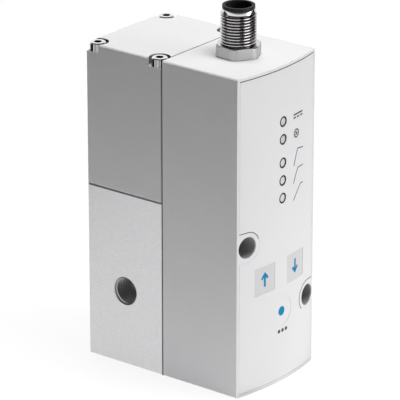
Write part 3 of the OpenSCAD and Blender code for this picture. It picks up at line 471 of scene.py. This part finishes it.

# %% [markdown]
# ## A finish from parts
# Moulded plastic, blasted aluminium, plated steel and ink share one layout: a colour with
# some drift, a roughness that follows the grain, and a small bump. A function
# builds that layout, and the values make the difference. Where asked, it lays a painted shade
# on the walls of holes, on the roots and flanks of a thread as a painted dark reflection, and on
# the sockets and knurls of screws, and a darker painted tone on the faces that look to the
# front. Constants such as Metallic go straight into the shader's own sockets.

# %% Finish builder
def finish(name, color, rough, metal=0.0, drift_by=0.02, drift_scale=60.0, grain_scale=2500.0,
           bump=4e-6, lines=None, coat=0.0, gloss=0.5, painted_shade=(0.2, 0.2, 0.2),
           hollow=None, rim=None, groove=None, screws=None):
    material = bpy.data.materials.new(name)
    tree = empty_tree(material)
    painted_shade = (*painted_shade, 1)
    tone = {"Color": (*color, 1), "Amount": drift_by, "Scale": drift_scale}
    shade = place(tree, "ShaderNodeGroup", tone, node_tree=drift).outputs["Color"]
    marks = {"Axis": lines} if lines else {"Scale": grain_scale}
    marks["Low"], marks["High"] = rough
    effect = place(tree, "ShaderNodeGroup", marks, node_tree=turned if lines else grain).outputs
    # painted shade on the walls of holes
    if hollow:
        shade = blend(tree, hole_shade_mask(tree, hollow), shade, painted_shade)
    # painted shade on the faces that look to the front
    if rim:
        shade = blend(tree, front_shade_mask(tree), shade, (*rim, 1))
    # painted dark reflection on a thread's roots and flanks; the crests keep their colour
    if groove:
        crest_mask = stretch(tree, effect["Radius"], *groove, kind="SMOOTHSTEP")
        shade = blend(tree, crest_mask, painted_shade, shade)
    # painted shade in the sockets of screws and in the grooves of their knurls
    if screws:
        for mask in screw_shade_masks(tree, **screws):
            shade = blend(tree, mask, shade, painted_shade)
    relief = place(tree, "ShaderNodeBump", {
        "Height": effect["Height"], "Distance": bump, "Strength": 1.0})
    surface = place(tree, "ShaderNodeBsdfPrincipled", {
        "Base Color": shade, "Roughness": effect["Level"], "Metallic": metal,
        "Normal": relief.outputs["Normal"], "Coat Weight": coat, "Specular IOR Level": gloss})
    place(tree, "ShaderNodeOutputMaterial", {"Surface": surface.outputs[0]})
    return material


print("one builder for all finishes")

# %% [markdown]
# ## The plastics
# The two housings are moulded in a light grey with a fine eroded grain. The walls of their
# holes and pockets take a painted shade, and the faces of the front housing that look to the
# front, such as the narrow rim round the cover, a darker painted tone of shade. The front cover
# is smoother and a little darker. The keys are darker again. The lamps are clear grey
# lenses with a gloss of their own.

# %% Plastic finishes
moulded = dict(color=(0.74, 0.74, 0.745), rough=(0.5, 0.62), grain_scale=3200, bump=5e-6)
plastics = {
    # walls of holes and faces that look to the front: painted shade
    "housing_plastic": dict(moulded, hollow="electronics_housing", painted_shade=(0.36, 0.355, 0.365),
                            rim=(0.66, 0.658, 0.668)),
    "panel_plastic": dict(color=(0.663, 0.66, 0.67), rough=(0.42, 0.5), drift_by=0.012,
                          drift_scale=40, grain_scale=2200, bump=2e-6),
    "key_plastic": dict(color=(0.555, 0.555, 0.562), rough=(0.4, 0.5), drift_by=0.012,
                        grain_scale=2200, bump=2e-6),
    "lens_plastic": dict(color=(0.6, 0.61, 0.61), rough=(0.12, 0.2), drift_by=0.08,
                         drift_scale=900, grain_scale=1500, bump=1e-5, coat=0.4),
    "black_plastic": dict(color=(0.012, 0.012, 0.013), rough=(0.4, 0.55), drift_by=0.1,
                          gloss=0.2),
    "rubber": dict(color=(0.016, 0.016, 0.016), rough=(0.7, 0.85), drift_by=0.15,
                   grain_scale=1500, bump=1e-5, gloss=0.2),
    "board_laminate": dict(color=(0.03, 0.17, 0.07), rough=(0.3, 0.4), drift_by=0.15,
                           drift_scale=400, coat=0.3),
    "flat_lead": dict(color=(0.42, 0.21, 0.03), rough=(0.25, 0.35), drift_by=0.08,
                      drift_scale=300, coat=0.3),
}
finishes = {name: finish(name, **values) for name, values in plastics.items()}
# walls of the pockets: painted shade
pocket_shaded_plastic = finish("pocket_shaded_plastic", **moulded, hollow="pilot_cover",
                          painted_shade=(0.27, 0.265, 0.27))
print("plastics:", sorted(finishes))

# %% [markdown]
# ## The metals
# The valve body is blasted with glass beads: thousands of tiny dents scatter the light, so
# it looks pale and even with a fine speckle, and the walls of its holes take a painted shade.
# Its port threads are tapped after the blasting and stay smooth; their dark colour is a painted
# shade of the deep ports. The connector is turned and plated, bright on the crests of its
# thread with painted dark reflections on the roots and flanks, and satin on its hexagon. The
# corner screws have bright heads with a knurled side, whose grooves are painted dark as their
# shade, and a socket painted dark as its shade.

# %% Metal finishes
connector_axis = tuple(middle("contact_carrier"))
valve_axis = tuple(middle("valve_body"))
machined = dict(drift_by=0.05, drift_scale=500, bump=2e-6)
metals = {
    # walls of holes: painted shade
    "blasted_aluminium": dict(color=(0.69, 0.69, 0.7), rough=(0.4, 0.58), drift_by=0.07,
                              drift_scale=1600, grain_scale=1400, bump=9e-6,
                              hollow="valve_body", painted_shade=(0.3, 0.3, 0.31)),
    "nickel_plate": dict(color=(0.76, 0.75, 0.74), rough=(0.1, 0.18), lines=connector_axis,
                         bump=1e-6),
    "steel": dict(machined, color=(0.66, 0.66, 0.67), rough=(0.2, 0.34)),
    "brass": dict(color=(0.78, 0.58, 0.26), rough=(0.2, 0.32), lines=valve_axis, bump=2e-6),
    "copper": dict(color=(0.62, 0.25, 0.11), rough=(0.25, 0.4), drift_by=0.1, drift_scale=900),
}
finishes.update({name: finish(name, metal=1.0, **values) for name, values in metals.items()})
# roots and flanks of the thread: painted dark reflection
thread_nickel = finish("thread_nickel", (0.66, 0.65, 0.65), (0.14, 0.24), metal=1.0,
                       lines=connector_axis, bump=1e-6, groove=(5.45 * MM, 5.95 * MM),
                       painted_shade=(0.078, 0.074, 0.076))
# dark colour of the port threads: painted shade of the deep ports
shaded_tapped_aluminium = finish("shaded_tapped_aluminium", (0.33, 0.33, 0.335), (0.26, 0.4), metal=1.0,
                          **machined)
screws_low, screws_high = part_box("corner_screws")
head_radius, socket_radius, knurl_depth = 2.75 * MM, 1.5 * MM, 0.07 * MM
screw_x, screw_y = (screws_low.x + screws_high.x) / 2, (screws_low.y + screws_high.y) / 2
screw_heads = dict(
    centre=(screw_x, screw_y, 0), socket_reach=socket_radius, side_reach=head_radius - knurl_depth,
    offset=(screws_high.x - screw_x - head_radius, screws_high.y - screw_y - head_radius,
            screws_high.z))
# sockets and knurl grooves: painted shade
bright_steel = finish("bright_steel", (0.82, 0.82, 0.82), (0.08, 0.16), metal=1.0, **machined,
                      screws=screw_heads, painted_shade=(0.02, 0.02, 0.02))
satin_nickel = finish("satin_nickel", (0.47, 0.47, 0.465), (0.36, 0.5), metal=1.0,
                      drift_by=0.04, drift_scale=500, bump=3e-6)
print("finishes:", len(finishes))

# %% [markdown]
# ## Dressing the solids
# The record of the part names a material slot for each solid, and each slot has its finish.
# Two solids differ from the rest of their slot: the corner screws are brighter than
# the steel inside and carry painted shade in their sockets and knurls, and the pilot cover has
# painted shade on the walls of its pockets.

# %% Put the finishes on the solids
for part in frame["record"]["subparts"]:
    solid = frame["nodes"][part["node"]]
    solid.data.materials.clear()
    solid.data.materials.append(finishes[part["material_slot"]])
frame["nodes"]["corner_screws"].data.materials[0] = bright_steel
frame["nodes"]["pilot_cover"].data.materials[0] = pocket_shaded_plastic

# %% [markdown]
# ## A true thread
# A thread is a groove that climbs one pitch per turn. It could be bent from a flat strip
# or swept along a helix, but here it is one skin of points around an axis: each row of points
# climbs like the thread itself, and where a row comes round, it joins the row that is
# one pitch further up. The ends fade out, as they do under a real cutting die.

# %% Rows of a thread
COLUMNS = 96
CORNERS_PER_PITCH = 4
crest_end, root_begin, root_end = 0.2, 0.475, 0.725


def thread_rows(low, high, pitch, root, crest, fade_in, fade_out):
    corners = ((0.0, crest), (crest_end, crest), (root_begin, root), (root_end, root))
    rows = []
    for turn in range(-1, math.ceil((high - low) / pitch) + 1):
        for phase, radius in corners:
            row = []
            for column in range(COLUMNS):
                z = min(max(low + pitch * (turn + phase + column / COLUMNS), low), high)
                cut = min(1.0, (z - low) / fade_in, (high - z) / fade_out)
                row.append((root + (radius - root) * cut, z))
            rows.append(row)
    return rows


def plain_row(radius, z):
    return [(radius, z)] * COLUMNS


print("a thread row has", COLUMNS, "points")

# %% [markdown]
# ## From rows to a skin
# The rows are joined by faces from the first to the last, and the last is joined to the first,
# so the skin is closed. Points that fall together at the ends of a thread are merged.
# Faces that meet at a flat angle are shaded as one round surface.

# %% Skin from rows
POINT_GAP = 1e-7
sharp_from = math.radians(28)


def skin(name, before, thread, after, turn=0.0):
    rows = before + thread + after
    first, last = len(before), len(before) + len(thread) - 1
    shape = bmesh.new()
    points = []
    for row in rows:
        ring = []
        for column, (radius, z) in enumerate(row):
            angle = turn + math.tau * column / COLUMNS
            ring.append(shape.verts.new((radius * math.cos(angle), radius * math.sin(angle), z)))
        points.append(ring)

    def beyond(row):
        return min(row + CORNERS_PER_PITCH, last) if first <= row <= last else row

    for row in range(len(rows)):
        above = (row + 1) % len(rows)
        for column in range(COLUMNS):
            if column + 1 < COLUMNS:
                near, far = points[row][column + 1], points[above][column + 1]
            else:
                near, far = points[beyond(row)][0], points[beyond(above)][0]
            corners = dict.fromkeys((points[row][column], near, far, points[above][column]))
            shape.faces.new(corners)
    bmesh.ops.remove_doubles(shape, verts=shape.verts, dist=POINT_GAP)
    bmesh.ops.recalc_face_normals(shape, faces=shape.faces)
    piece = build(name, shape)
    piece.data.shade_smooth()
    piece.data.set_sharp_from_angle(angle=sharp_from)
    return piece


print("a skin closes from its last row to its first")

# %% [markdown]
# ## The threaded connector
# The shell is turned from one bar: a hexagon with chamfered corners, an M12 thread
# with 1 mm pitch, and a plain bright collar under the black contact carrier. The collar
# narrows upwards and ends in a chamfer. A thin undercut runs under the hexagon, and its
# black faces are a painted shadow line where the hexagon meets the roof.
# The plain solid has the outer shape of all this. The piece made here takes its place.

# %% Measures of the shell
shell_low, shell_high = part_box("connector_shell")
axis_spot = Vector((connector_axis[0], connector_axis[1], 0))
bore, end_chamfer = 5.05 * MM, 0.3 * MM
major, minor, thread_pitch = 6.0 * MM, 5.39 * MM, 1.0 * MM
thread_gap, fade_low, fade_high = 0.05 * MM, 0.12 * MM, 0.15 * MM
half_flats, corner, hex_high, hex_turn = 7.0 * MM, 7.6 * MM, 4.0 * MM, math.radians(26)
hex_slope, edge = math.radians(60), 0.12 * MM
collar, collar_low, collar_slope = 5.5 * MM, shell_high.z - 1.2 * MM, 0.25 * MM
collar_chamfer, collar_turn = 0.4 * MM, 0.27 * MM
undercut_high, undercut_back = 0.15 * MM, 0.3 * MM
hex_top = roof_z + hex_high
hex_edge = (half_flats + corner) / 2
print("thread from", round(hex_top / MM, 2), "to", round(collar_low / MM, 2), "mm")

# %% [markdown]
# ## Rows of the shell
# The outline of the shell is walked from the bore at the bottom, up the outside and back to
# the bore at the top. Each corner of that walk is one row. In the rows of the hexagon
# the radius changes with the angle, and where it passes the chamfer's edge the row sinks.

# %% Connector shell
def hex_radius(column):
    return min(corner, half_flats / math.cos(math.radians((360 * column / COLUMNS) % 60 - 30)))


corners = [hex_radius(column) for column in range(COLUMNS)]
lower = [plain_row(bore, shell_low.z), plain_row(major - end_chamfer, shell_low.z),
         plain_row(major, shell_low.z + end_chamfer), plain_row(major, roof_z),
         [(r - undercut_back, roof_z) for r in corners],
         [(r - undercut_back, roof_z + undercut_high) for r in corners],
         [(r, roof_z + undercut_high) for r in corners],
         [(r, hex_top - max(0, r - hex_edge) / math.tan(hex_slope) - edge) for r in corners],
         [(min(r, hex_edge) - edge, hex_top) for r in corners], plain_row(minor, hex_top)]
thread = thread_rows(hex_top + thread_gap, collar_low, thread_pitch, minor, major,
                     fade_low, fade_high)
upper = [plain_row(collar + collar_slope, collar_low + thread_gap),
         plain_row(collar, shell_high.z - collar_chamfer),
         plain_row(collar - collar_turn, shell_high.z), plain_row(bore, shell_high.z)]
shell = skin("threaded_shell", lower, thread, upper, hex_turn)
shell.data.transform(Matrix.Translation(axis_spot))
print("connector shell:", len(shell.data.polygons), "faces")

# %% [markdown]
# ## Platings of the shell
# The shell is one turned piece, but its faces don't all look alike: the undercut under the
# hexagon is black as a painted shadow line, the hexagon satin, the thread bright on its
# crests with a painted dark reflection on its roots and flanks, and the collar brightest.
# The height of a face tells which it is.

# %% Platings by height
SATIN, THREAD, UNDERCUT_SHADE = 1, 2, 3
undercut_top, satin_top = roof_z + undercut_high * 0.9, hex_top - edge * 0.75
for plating in (finishes["nickel_plate"], satin_nickel, thread_nickel, finishes["rubber"]):
    shell.data.materials.append(plating)
for face in shell.data.polygons:
    # black undercut faces: painted shadow line under the hexagon
    if roof_z < face.center.z < undercut_top:
        face.material_index = UNDERCUT_SHADE
    elif face.center.z < satin_top:
        face.material_index = SATIN
    elif face.center.z < collar_low:
        face.material_index = THREAD
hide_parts("connector_shell")
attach(shell, "housing")
print("platings:", [material.name for material in shell.data.materials])

# %% [markdown]
# ## Threads in the ports
# The air ports take G1/8 fittings. Their solid bores have the thread's largest radius, so the
# ridges stand inwards from that wall as a thin sleeve. The record of the part says where
# each port is and which way it points.

# %% Port threads
port_pitch, crest_radius, mouth = 0.907 * MM, 4.283 * MM, 0.19 * MM
sleeve_tuck, root_rise, port_fade = 0.02 * MM, 0.01 * MM, 0.6 * MM
for name in ("supply_port", "outlet_port", "exhaust_port"):
    port = mounts[name]
    wall = port["dims"]["r_mm"] * MM
    depth = port["dims"]["length_mm"] * MM + mouth
    outward = Vector(port["axis"])
    face = Vector(port["pos_m"])
    for i in range(3):
        if outward[i]:
            face[i] = (body_high if outward[i] > 0 else body_low)[i]
    outside = wall + sleeve_tuck
    sleeve = skin(name + "_thread", [plain_row(outside, depth), plain_row(outside, mouth)],
                  thread_rows(mouth, depth, port_pitch, wall - root_rise, crest_radius,
                              port_fade, port_fade), [])
    turn = outward.to_track_quat("-Z", "Y").to_matrix().to_4x4()
    sleeve.data.transform(Matrix.Translation(face) @ turn)
    sleeve.data.materials.append(shaded_tapped_aluminium)
    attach(sleeve, "housing")
    print(name, "thread:", len(sleeve.data.polygons), "faces")

# %% [markdown]
# ## The edge of the gasket
# A flat rubber gasket closes the seam between the front housing and the column behind it.
# The solid gasket stands back a little. A narrow black frame with a crowned edge fills the
# rest of the gap up to the level of the housings, so the seam shows as a thin black line: a
# painted shade of the seam.

# %% Crowned black edge round the gasket, a painted shade of the seam
gasket_low, gasket_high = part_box("seam_gasket")
tuck, crown_back, edge_back = 0.05 * MM, 0.01 * MM, 0.05 * MM
gasket_middle = (gasket_low.y + gasket_high.y) / 2
section = [(-tuck, gasket_low.y), (edge_back, gasket_low.y), (crown_back, gasket_middle),
           (edge_back, gasket_high.y), (-tuck, gasket_high.y)]


def ring_piece(name, loops, slot):
    shape = bmesh.new()
    loops = [[shape.verts.new(point) for point in loop] for loop in loops]
    for i, loop in enumerate(loops):
        following = loops[(i + 1) % len(loops)]
        for k in range(len(loop)):
            n = (k + 1) % len(loop)
            shape.faces.new((loop[k], loop[n], following[n], following[k]))
    bmesh.ops.recalc_face_normals(shape, faces=shape.faces)
    piece = build(name, shape)
    piece.data.materials.append(finishes[slot])
    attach(piece, "housing")


loops = []
for step, y in section:
    if step < 0:
        x = gasket_high.x - tuck
        low_edge, high_edge = gasket_low.z + tuck, gasket_high.z - tuck
    else:
        x, low_edge, high_edge = half_width - step, body_low.z + step, roof_z - step
    loops.append([(-x, y, low_edge), (x, y, low_edge), (x, y, high_edge), (-x, y, high_edge)])
ring_piece("seam_gasket_shade_edge", loops, "rubber")
print("gasket edge:", len(loops), "loops of four corners")

# %% [markdown]
# ## The lip of the pilot cover
# The pilot cover stands on a second gasket. Its foot is moulded with a fine lip that hangs
# over the upper part of this gasket and keeps dirt off it, so the level seam shows as a
# thinner line than the gasket is thick. The lip runs round all four sides, along the
# chamfer of the cover's lower edge.

# %% Lip over the flat gasket
cover_low, cover_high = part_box("pilot_cover")
chamfer, lip_out, lip_in, lip_drop = 0.4 * MM, 0.06 * MM, 0.19 * MM, 0.2 * MM


def column_loop(inset, z):
    x, y0, y1 = cover_high.x - inset, cover_low.y + inset, cover_high.y - inset
    cut = chamfer - (2 - math.sqrt(2)) * inset
    half = [(x - cut, y0), (x, y0 + cut), (x, y1 - cut), (x - cut, y1)]
    return [(a, b, z) for a, b in half] + [(-a, b, z) for a, b in reversed(half)]


foot_z = cover_low.z
ring_piece("pilot_cover_lip", [column_loop(lip_in, foot_z - lip_drop),
                               column_loop(lip_out, foot_z - lip_drop),
                               column_loop(lip_out, foot_z + chamfer - lip_out),
                               column_loop(lip_in, foot_z + chamfer - lip_in)], "housing_plastic")
print("cover lip hangs", round(lip_drop / MM, 2), "mm over the gasket")

# %% [markdown]
# ## Printed marks
# The panel carries printed marks: blue arrows on the square keys, a blue dot on the round
# key, and small dark signs beside the lamps. Ink is a very thin layer, so each mark is a flat
# outline that is cut into narrow strips, laid on the bulge of the front and given a
# thickness of a few hundredths of a millimetre. It moves with the key that it is printed on.

# %% Laying outlines on the bulge
ink_proud, ink_sunk = 0.03 * MM, 0.05 * MM
strip = 1.0 * MM


def front_at(x, depth):
    return bulge_centre - math.sqrt((bulge_radius - depth) ** 2 - x ** 2)


def print_mark(name, outlines, depth, body, material):
    shape = bmesh.new()
    for outline in outlines:
        shape.faces.new([shape.verts.new((x * MM, 0, z * MM)) for x, z in outline])
    bmesh.ops.remove_doubles(shape, verts=shape.verts, dist=POINT_GAP)
    steps = [round(v.co.x / strip) for v in shape.verts]
    for step in range(min(steps) - 1, max(steps) + 2):
        everything = shape.verts[:] + shape.edges[:] + shape.faces[:]
        bmesh.ops.bisect_plane(shape, geom=everything, dist=POINT_GAP,
                               plane_co=(step * strip, 0, 0), plane_no=(1, 0, 0))
    copy = bmesh.ops.extrude_face_region(shape, geom=shape.faces[:])["geom"]
    raised = {v for v in copy if isinstance(v, bmesh.types.BMVert)}
    for v in shape.verts:
        v.co.y = front_at(v.co.x, depth - ink_proud if v in raised else depth + ink_sunk)
    bmesh.ops.recalc_face_normals(shape, faces=shape.faces)
    piece = build(name, shape)
    piece.data.materials.append(material)
    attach(piece, body)


print("bulge radius", round(bulge_radius / MM, 2), "mm")

# %% [markdown]
# ## Strokes and dots
# Every mark is made of two shapes: a stroke of even width with mitred corners, and a round
# dot. Both are plain lists of points in millimetres, seen from the front.

# %% Outlines of strokes and dots
MITRE_LIMIT = 0.4


def stroke(points, width, closed=False):
    line = [Vector(p) for p in points]
    count = len(line)
    sides = []
    for i, p in enumerate(line):
        before = line[i - 1] if i or closed else None
        after = line[(i + 1) % count] if i + 1 < count or closed else None
        come = (p - before).normalized() if before else (after - p).normalized()
        go = (after - p).normalized() if after else come
        normal = Vector((-(come + go).y, (come + go).x)).normalized()
        reach = width / 2 / max(normal.dot(Vector((-come.y, come.x))), MITRE_LIMIT)
        sides.append((p + normal * reach, p - normal * reach))
    pairs = [(i, (i + 1) % count) for i in range(count if closed else count - 1)]
    return [[sides[i][0], sides[i][1], sides[k][1], sides[k][0]] for i, k in pairs]


def circle(x, z, radius, points):
    turns = [math.tau * i / points for i in range(points)]
    return [(x + radius * math.cos(t), z + radius * math.sin(t)) for t in turns]


def dot(x, z, radius, points=32):
    return [circle(x, z, radius, points)]


print("a short stroke has", len(stroke([(0, 0), (1, 0)], 0.5)[0]), "corners")

# %% [markdown]
# ## Rings and arrows
# A ring is a stroke along a circle. An arrow is two strokes: a bent one for the head, and a
# straight one for the shaft, which ends a little below the tip so that it stays
# hidden in the head.

# %% Outlines of rings and arrows
def ring(x, z, inside, outside, points=40):
    return stroke(circle(x, z, (inside + outside) / 2, points), outside - inside, closed=True)


def arrow(x, z, way):
    tip, tail, reach, drop = z + way * 2.1, z - way * 2.45, 1.5, 1.75
    width, overlap = 0.9, 0.4
    head = stroke([(x - reach, tip - way * drop), (x, tip), (x + reach, tip - way * drop)], width)
    return head + stroke([(x, tail), (x, tip - way * overlap)], width)


print("arrow has", len(arrow(0, 0, 1)), "outlines")

# %% [markdown]
# ## Marks on the keys
# The arrows raise and lower the set value, and the dot marks the key that opens the menu and
# confirms. They are printed in a matt blue ink, which reads well on the grey keys.

# %% Marks on the keys
blue_ink = finish("blue_ink", (0.003, 0.198, 0.385), (0.55, 0.65), drift_by=0.06,
                  drift_scale=900, bump=2e-6, gloss=0.1)
dark_ink = finish("dark_ink", (0.025, 0.025, 0.027), (0.4, 0.5), drift_by=0.15,
                  drift_scale=1200, bump=2e-6)
key_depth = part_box("round_key")[0].y - front_y
dot_radius = 1.65
for key, way in (("up", 1), ("down", -1)):
    spot = middle(key + "_key") / MM
    print_mark(key + "_arrow", arrow(spot.x, spot.z, way), key_depth, key + "_button",
               blue_ink)
spot = middle("round_key") / MM
print_mark("round_dot", dot(spot.x, spot.z, dot_radius), key_depth, "round_button",
           blue_ink)
print("marks on three keys")

# %% [markdown]
# ## The lip of the cover
# The front cover is pressed into the rim of the housing. Along its sides and below the two
# screw ways a thin moulded lip closes the gap, a little below the face. It is a set of
# strips in the gap that follow the same bulge as the cover.

# %% Lip strips in the gap
rim, gap, way_outer, arc_steps = 1.0, 0.2, 5.25, 14
lip_x = half_width / MM - rim - gap / 2
lip_r = way_outer + gap / 2
low_z, high_z = rim + gap, roof_z / MM - rim - gap
bottom_z, top_z = rim + gap / 2, roof_z / MM - rim - gap / 2
lip_overlap, lip_depth, foot_lip_depth = 0.02, 0.1 * MM, 0.25 * MM
left_turn, right_turn = 22, -45


def way_arc(name, side, first, last):
    way_x, _, way_z = (c / MM for c in mounts[name]["pos_m"])
    turns = [math.radians(first + (last - first) * i / arc_steps) for i in range(arc_steps + 1)]
    return [(way_x - side * lip_r * math.cos(t), way_z + lip_r * math.sin(t)) for t in turns]


left_z = mounts["wall_hole_upper"]["pos_m"][2] / MM
right_z = mounts["wall_hole_lower"]["pos_m"][2] / MM
lips = {"cover_lip_1": [(-lip_x, low_z), (-lip_x, left_z - lip_r)]
        + way_arc("wall_hole_upper", -1, -90, left_turn),
        "cover_lip_2": [(-lip_x, left_z + lip_r), (-lip_x, high_z)],
        "cover_lip_3": [(lip_x, low_z), (lip_x, right_z - lip_r)]
        + way_arc("wall_hole_lower", 1, -90, right_turn),
        "cover_lip_4": [(lip_x, right_z + lip_r), (lip_x, high_z)],
        "cover_lip_5": [(-lip_x, bottom_z), (lip_x, bottom_z)]}
for name, path in lips.items():
    depth = foot_lip_depth if name == "cover_lip_5" else lip_depth
    print_mark(name, stroke(path, gap + lip_overlap), depth, "housing",
               finishes["panel_plastic"])
print("round the cover:", len(lips), "lips")

# %% [markdown]
# ## Dark strips in the gap
# Above the screw ways and along the top the gap stays open. A black strip lies in it, level
# with the face, as a painted shade of the gap, and shows as a dark line. It is made like the
# lip, in rubber.

# %% Strips of painted shade in the gap
shade_strip_overlap = 0.06
shade_strips = {"cover_cord_1": way_arc("wall_hole_upper", -1, left_turn, 90)
         + [(-lip_x, left_z + lip_r)],
         "cover_cord_2": way_arc("wall_hole_lower", 1, right_turn, 90)
         + [(lip_x, right_z + lip_r)],
         "cover_cord_3": [(-lip_x, top_z), (lip_x, top_z)]}
for name, path in shade_strips.items():
    print_mark(name, stroke(path, gap + shade_strip_overlap), 0, "housing", finishes["rubber"])
print("round the cover:", len(shade_strips), "shade_strips")

# %% [markdown]
# ## Lips round the keys
# Each key slides in an opening of the cover with a little play. A fine lip on the edge of the
# opening narrows the gap to a hairline. It stays with the cover when the key goes in.

# %% Lips of the key openings
key_play, key_flange, key_corner, lip_share, round_points = 0.1, 0.9, 0.25, 0.8, 48
inset = key_flange + key_play / 2
for key in ("up_key", "down_key", "round_key"):
    low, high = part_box(key)
    x0, x1 = low.x / MM + inset, high.x / MM - inset
    z0, z1 = low.z / MM + inset, high.z / MM - inset
    x2, x3, z2, z3 = x0 + key_corner, x1 - key_corner, z0 + key_corner, z1 - key_corner
    path = [(x2, z0), (x3, z0), (x1, z2), (x1, z3), (x3, z1), (x2, z1), (x0, z3), (x0, z2)]
    if key == "round_key":
        path = circle((x0 + x1) / 2, (z0 + z1) / 2, (x1 - x0) / 2, round_points)
    print_mark(key + "_lip", stroke(path, key_play * lip_share, closed=True),
               key_depth + ink_proud, "housing", finishes["panel_plastic"])
print("lips round three keys, in a play of", key_play, "mm")

# %% [markdown]
# ## Dark rings round the lamps
# A black ring stands in the gap round each lens, a little below the face of the cover, as a
# painted shade of that gap, and the edge of each opening is drawn in to a thin lip that
# holds the ring.

# %% Rings of painted shade round the lenses
lens_radius, lip_inside, lip_outside, shade_ring_depth = 1.3, 1.86, 1.96, 0.05 * MM
lamps = [middle("lamp_%d" % i) / MM for i in (1, 2, 3, 4, 5)]
for i, spot in enumerate(lamps, 1):
    print_mark("lamp_bezel_%d" % i, ring(spot.x, spot.z, lens_radius, lip_inside), shade_ring_depth,
               "housing", finishes["black_plastic"])
    print_mark("lamp_lip_%d" % i, ring(spot.x, spot.z, lip_inside, lip_outside), ink_proud,
               "housing", finishes["panel_plastic"])
print("shade_rings of", 2 * lip_inside, "mm round", len(lamps), "lenses")

# %% [markdown]
# ## Signs beside the lamps
# The upper lamps stand for supply and fault, the lower three for how quickly the pressure
# follows a step of the signal: steep, medium or gentle. The signs say so without words: the
# sign for direct current, a ring with a cross, and three rising curves. Three dots under the
# round key stand for its menu.

# %% Signs
bar_left, bar_right, bar_rise, bar_width = 6.4, 12.0, 0.55, 0.52
dash, dash_step = 1.4, 2.1
fault_x, fault_inside, fault_outside, cross, cross_width = 8.2, 1.13, 1.57, 0.6, 0.44
curve_width = 0.34
menu_places, menu_z, menu_radius = (-0.9, 1.05, 3.0), 18.2, 0.68


def print_sign(name, outlines):
    print_mark(name, outlines, 0, "housing", dark_ink)


z = lamps[0].z
supply_sign = stroke([(bar_left, z + bar_rise), (bar_right, z + bar_rise)], bar_width)
for i in range(3):
    x = bar_left + dash_step * i
    supply_sign += stroke([(x, z - bar_rise), (x + dash, z - bar_rise)], bar_width)
print_sign("supply_sign", supply_sign)
z = lamps[1].z
fault_sign = ring(fault_x, z, fault_inside, fault_outside, points=28)
for rise in (cross, -cross):
    fault_sign += stroke([(fault_x - cross, z - rise), (fault_x + cross, z + rise)], cross_width)
print_sign("fault_sign", fault_sign)
curves = [[(6.9, 75.1), (8.5, 79.4), (9.15, 80.6), (12.6, 80.1)],
          [(6.7, 68.9), (8.6, 72.6), (9.5, 73.8), (12.7, 73.9)],
          [(6.8, 62.8), (10.2, 66.7), (11.2, 67.6), (12.6, 67.7)]]
for i, curve in enumerate(curves, 1):
    print_sign("response_curve_%d" % i, stroke(curve, curve_width))
print_sign("menu_sign", [circle(x, menu_z, menu_radius, points=20) for x in menu_places])
print("signs: supply, fault,", len(curves), "response curves, menu")

# %% [markdown]
# ## Softened edges
# No moulded or blasted edge is perfectly sharp: it has a small radius that catches the light
# as a thin line. Modifiers give the solids that radius without touching their points.
# The first joins the points that the loaded mesh keeps apart at its edges, the second
# rounds every edge that is sharper than a given angle, and the third keeps the large
# faces evenly shaded.

# %% Rounded edges
merge_gap, rounded_from, round_steps = 1e-6, math.radians(32), 2


def soften(node, width):
    solid = frame["nodes"][node]
    weld = solid.modifiers.new("join", "WELD")
    weld.merge_threshold = merge_gap
    bevel = solid.modifiers.new("round", "BEVEL")
    bevel.width = width
    bevel.segments = round_steps
    bevel.limit_method = "ANGLE"
    bevel.angle_limit = rounded_from
    bevel.use_clamp_overlap = True
    level = solid.modifiers.new("level", "WEIGHTED_NORMAL")
    level.keep_sharp = True


softened = {"pilot_cover": 0.06, "electronics_housing": 0.08, "valve_body": 0.06,
            "up_key": 0.1, "down_key": 0.1, "round_key": 0.1,
            "corner_screws": 0.08, "contact_carrier": 0.08}
for node, width in softened.items():
    soften(node, width * MM)
print("softened:", ", ".join(softened))
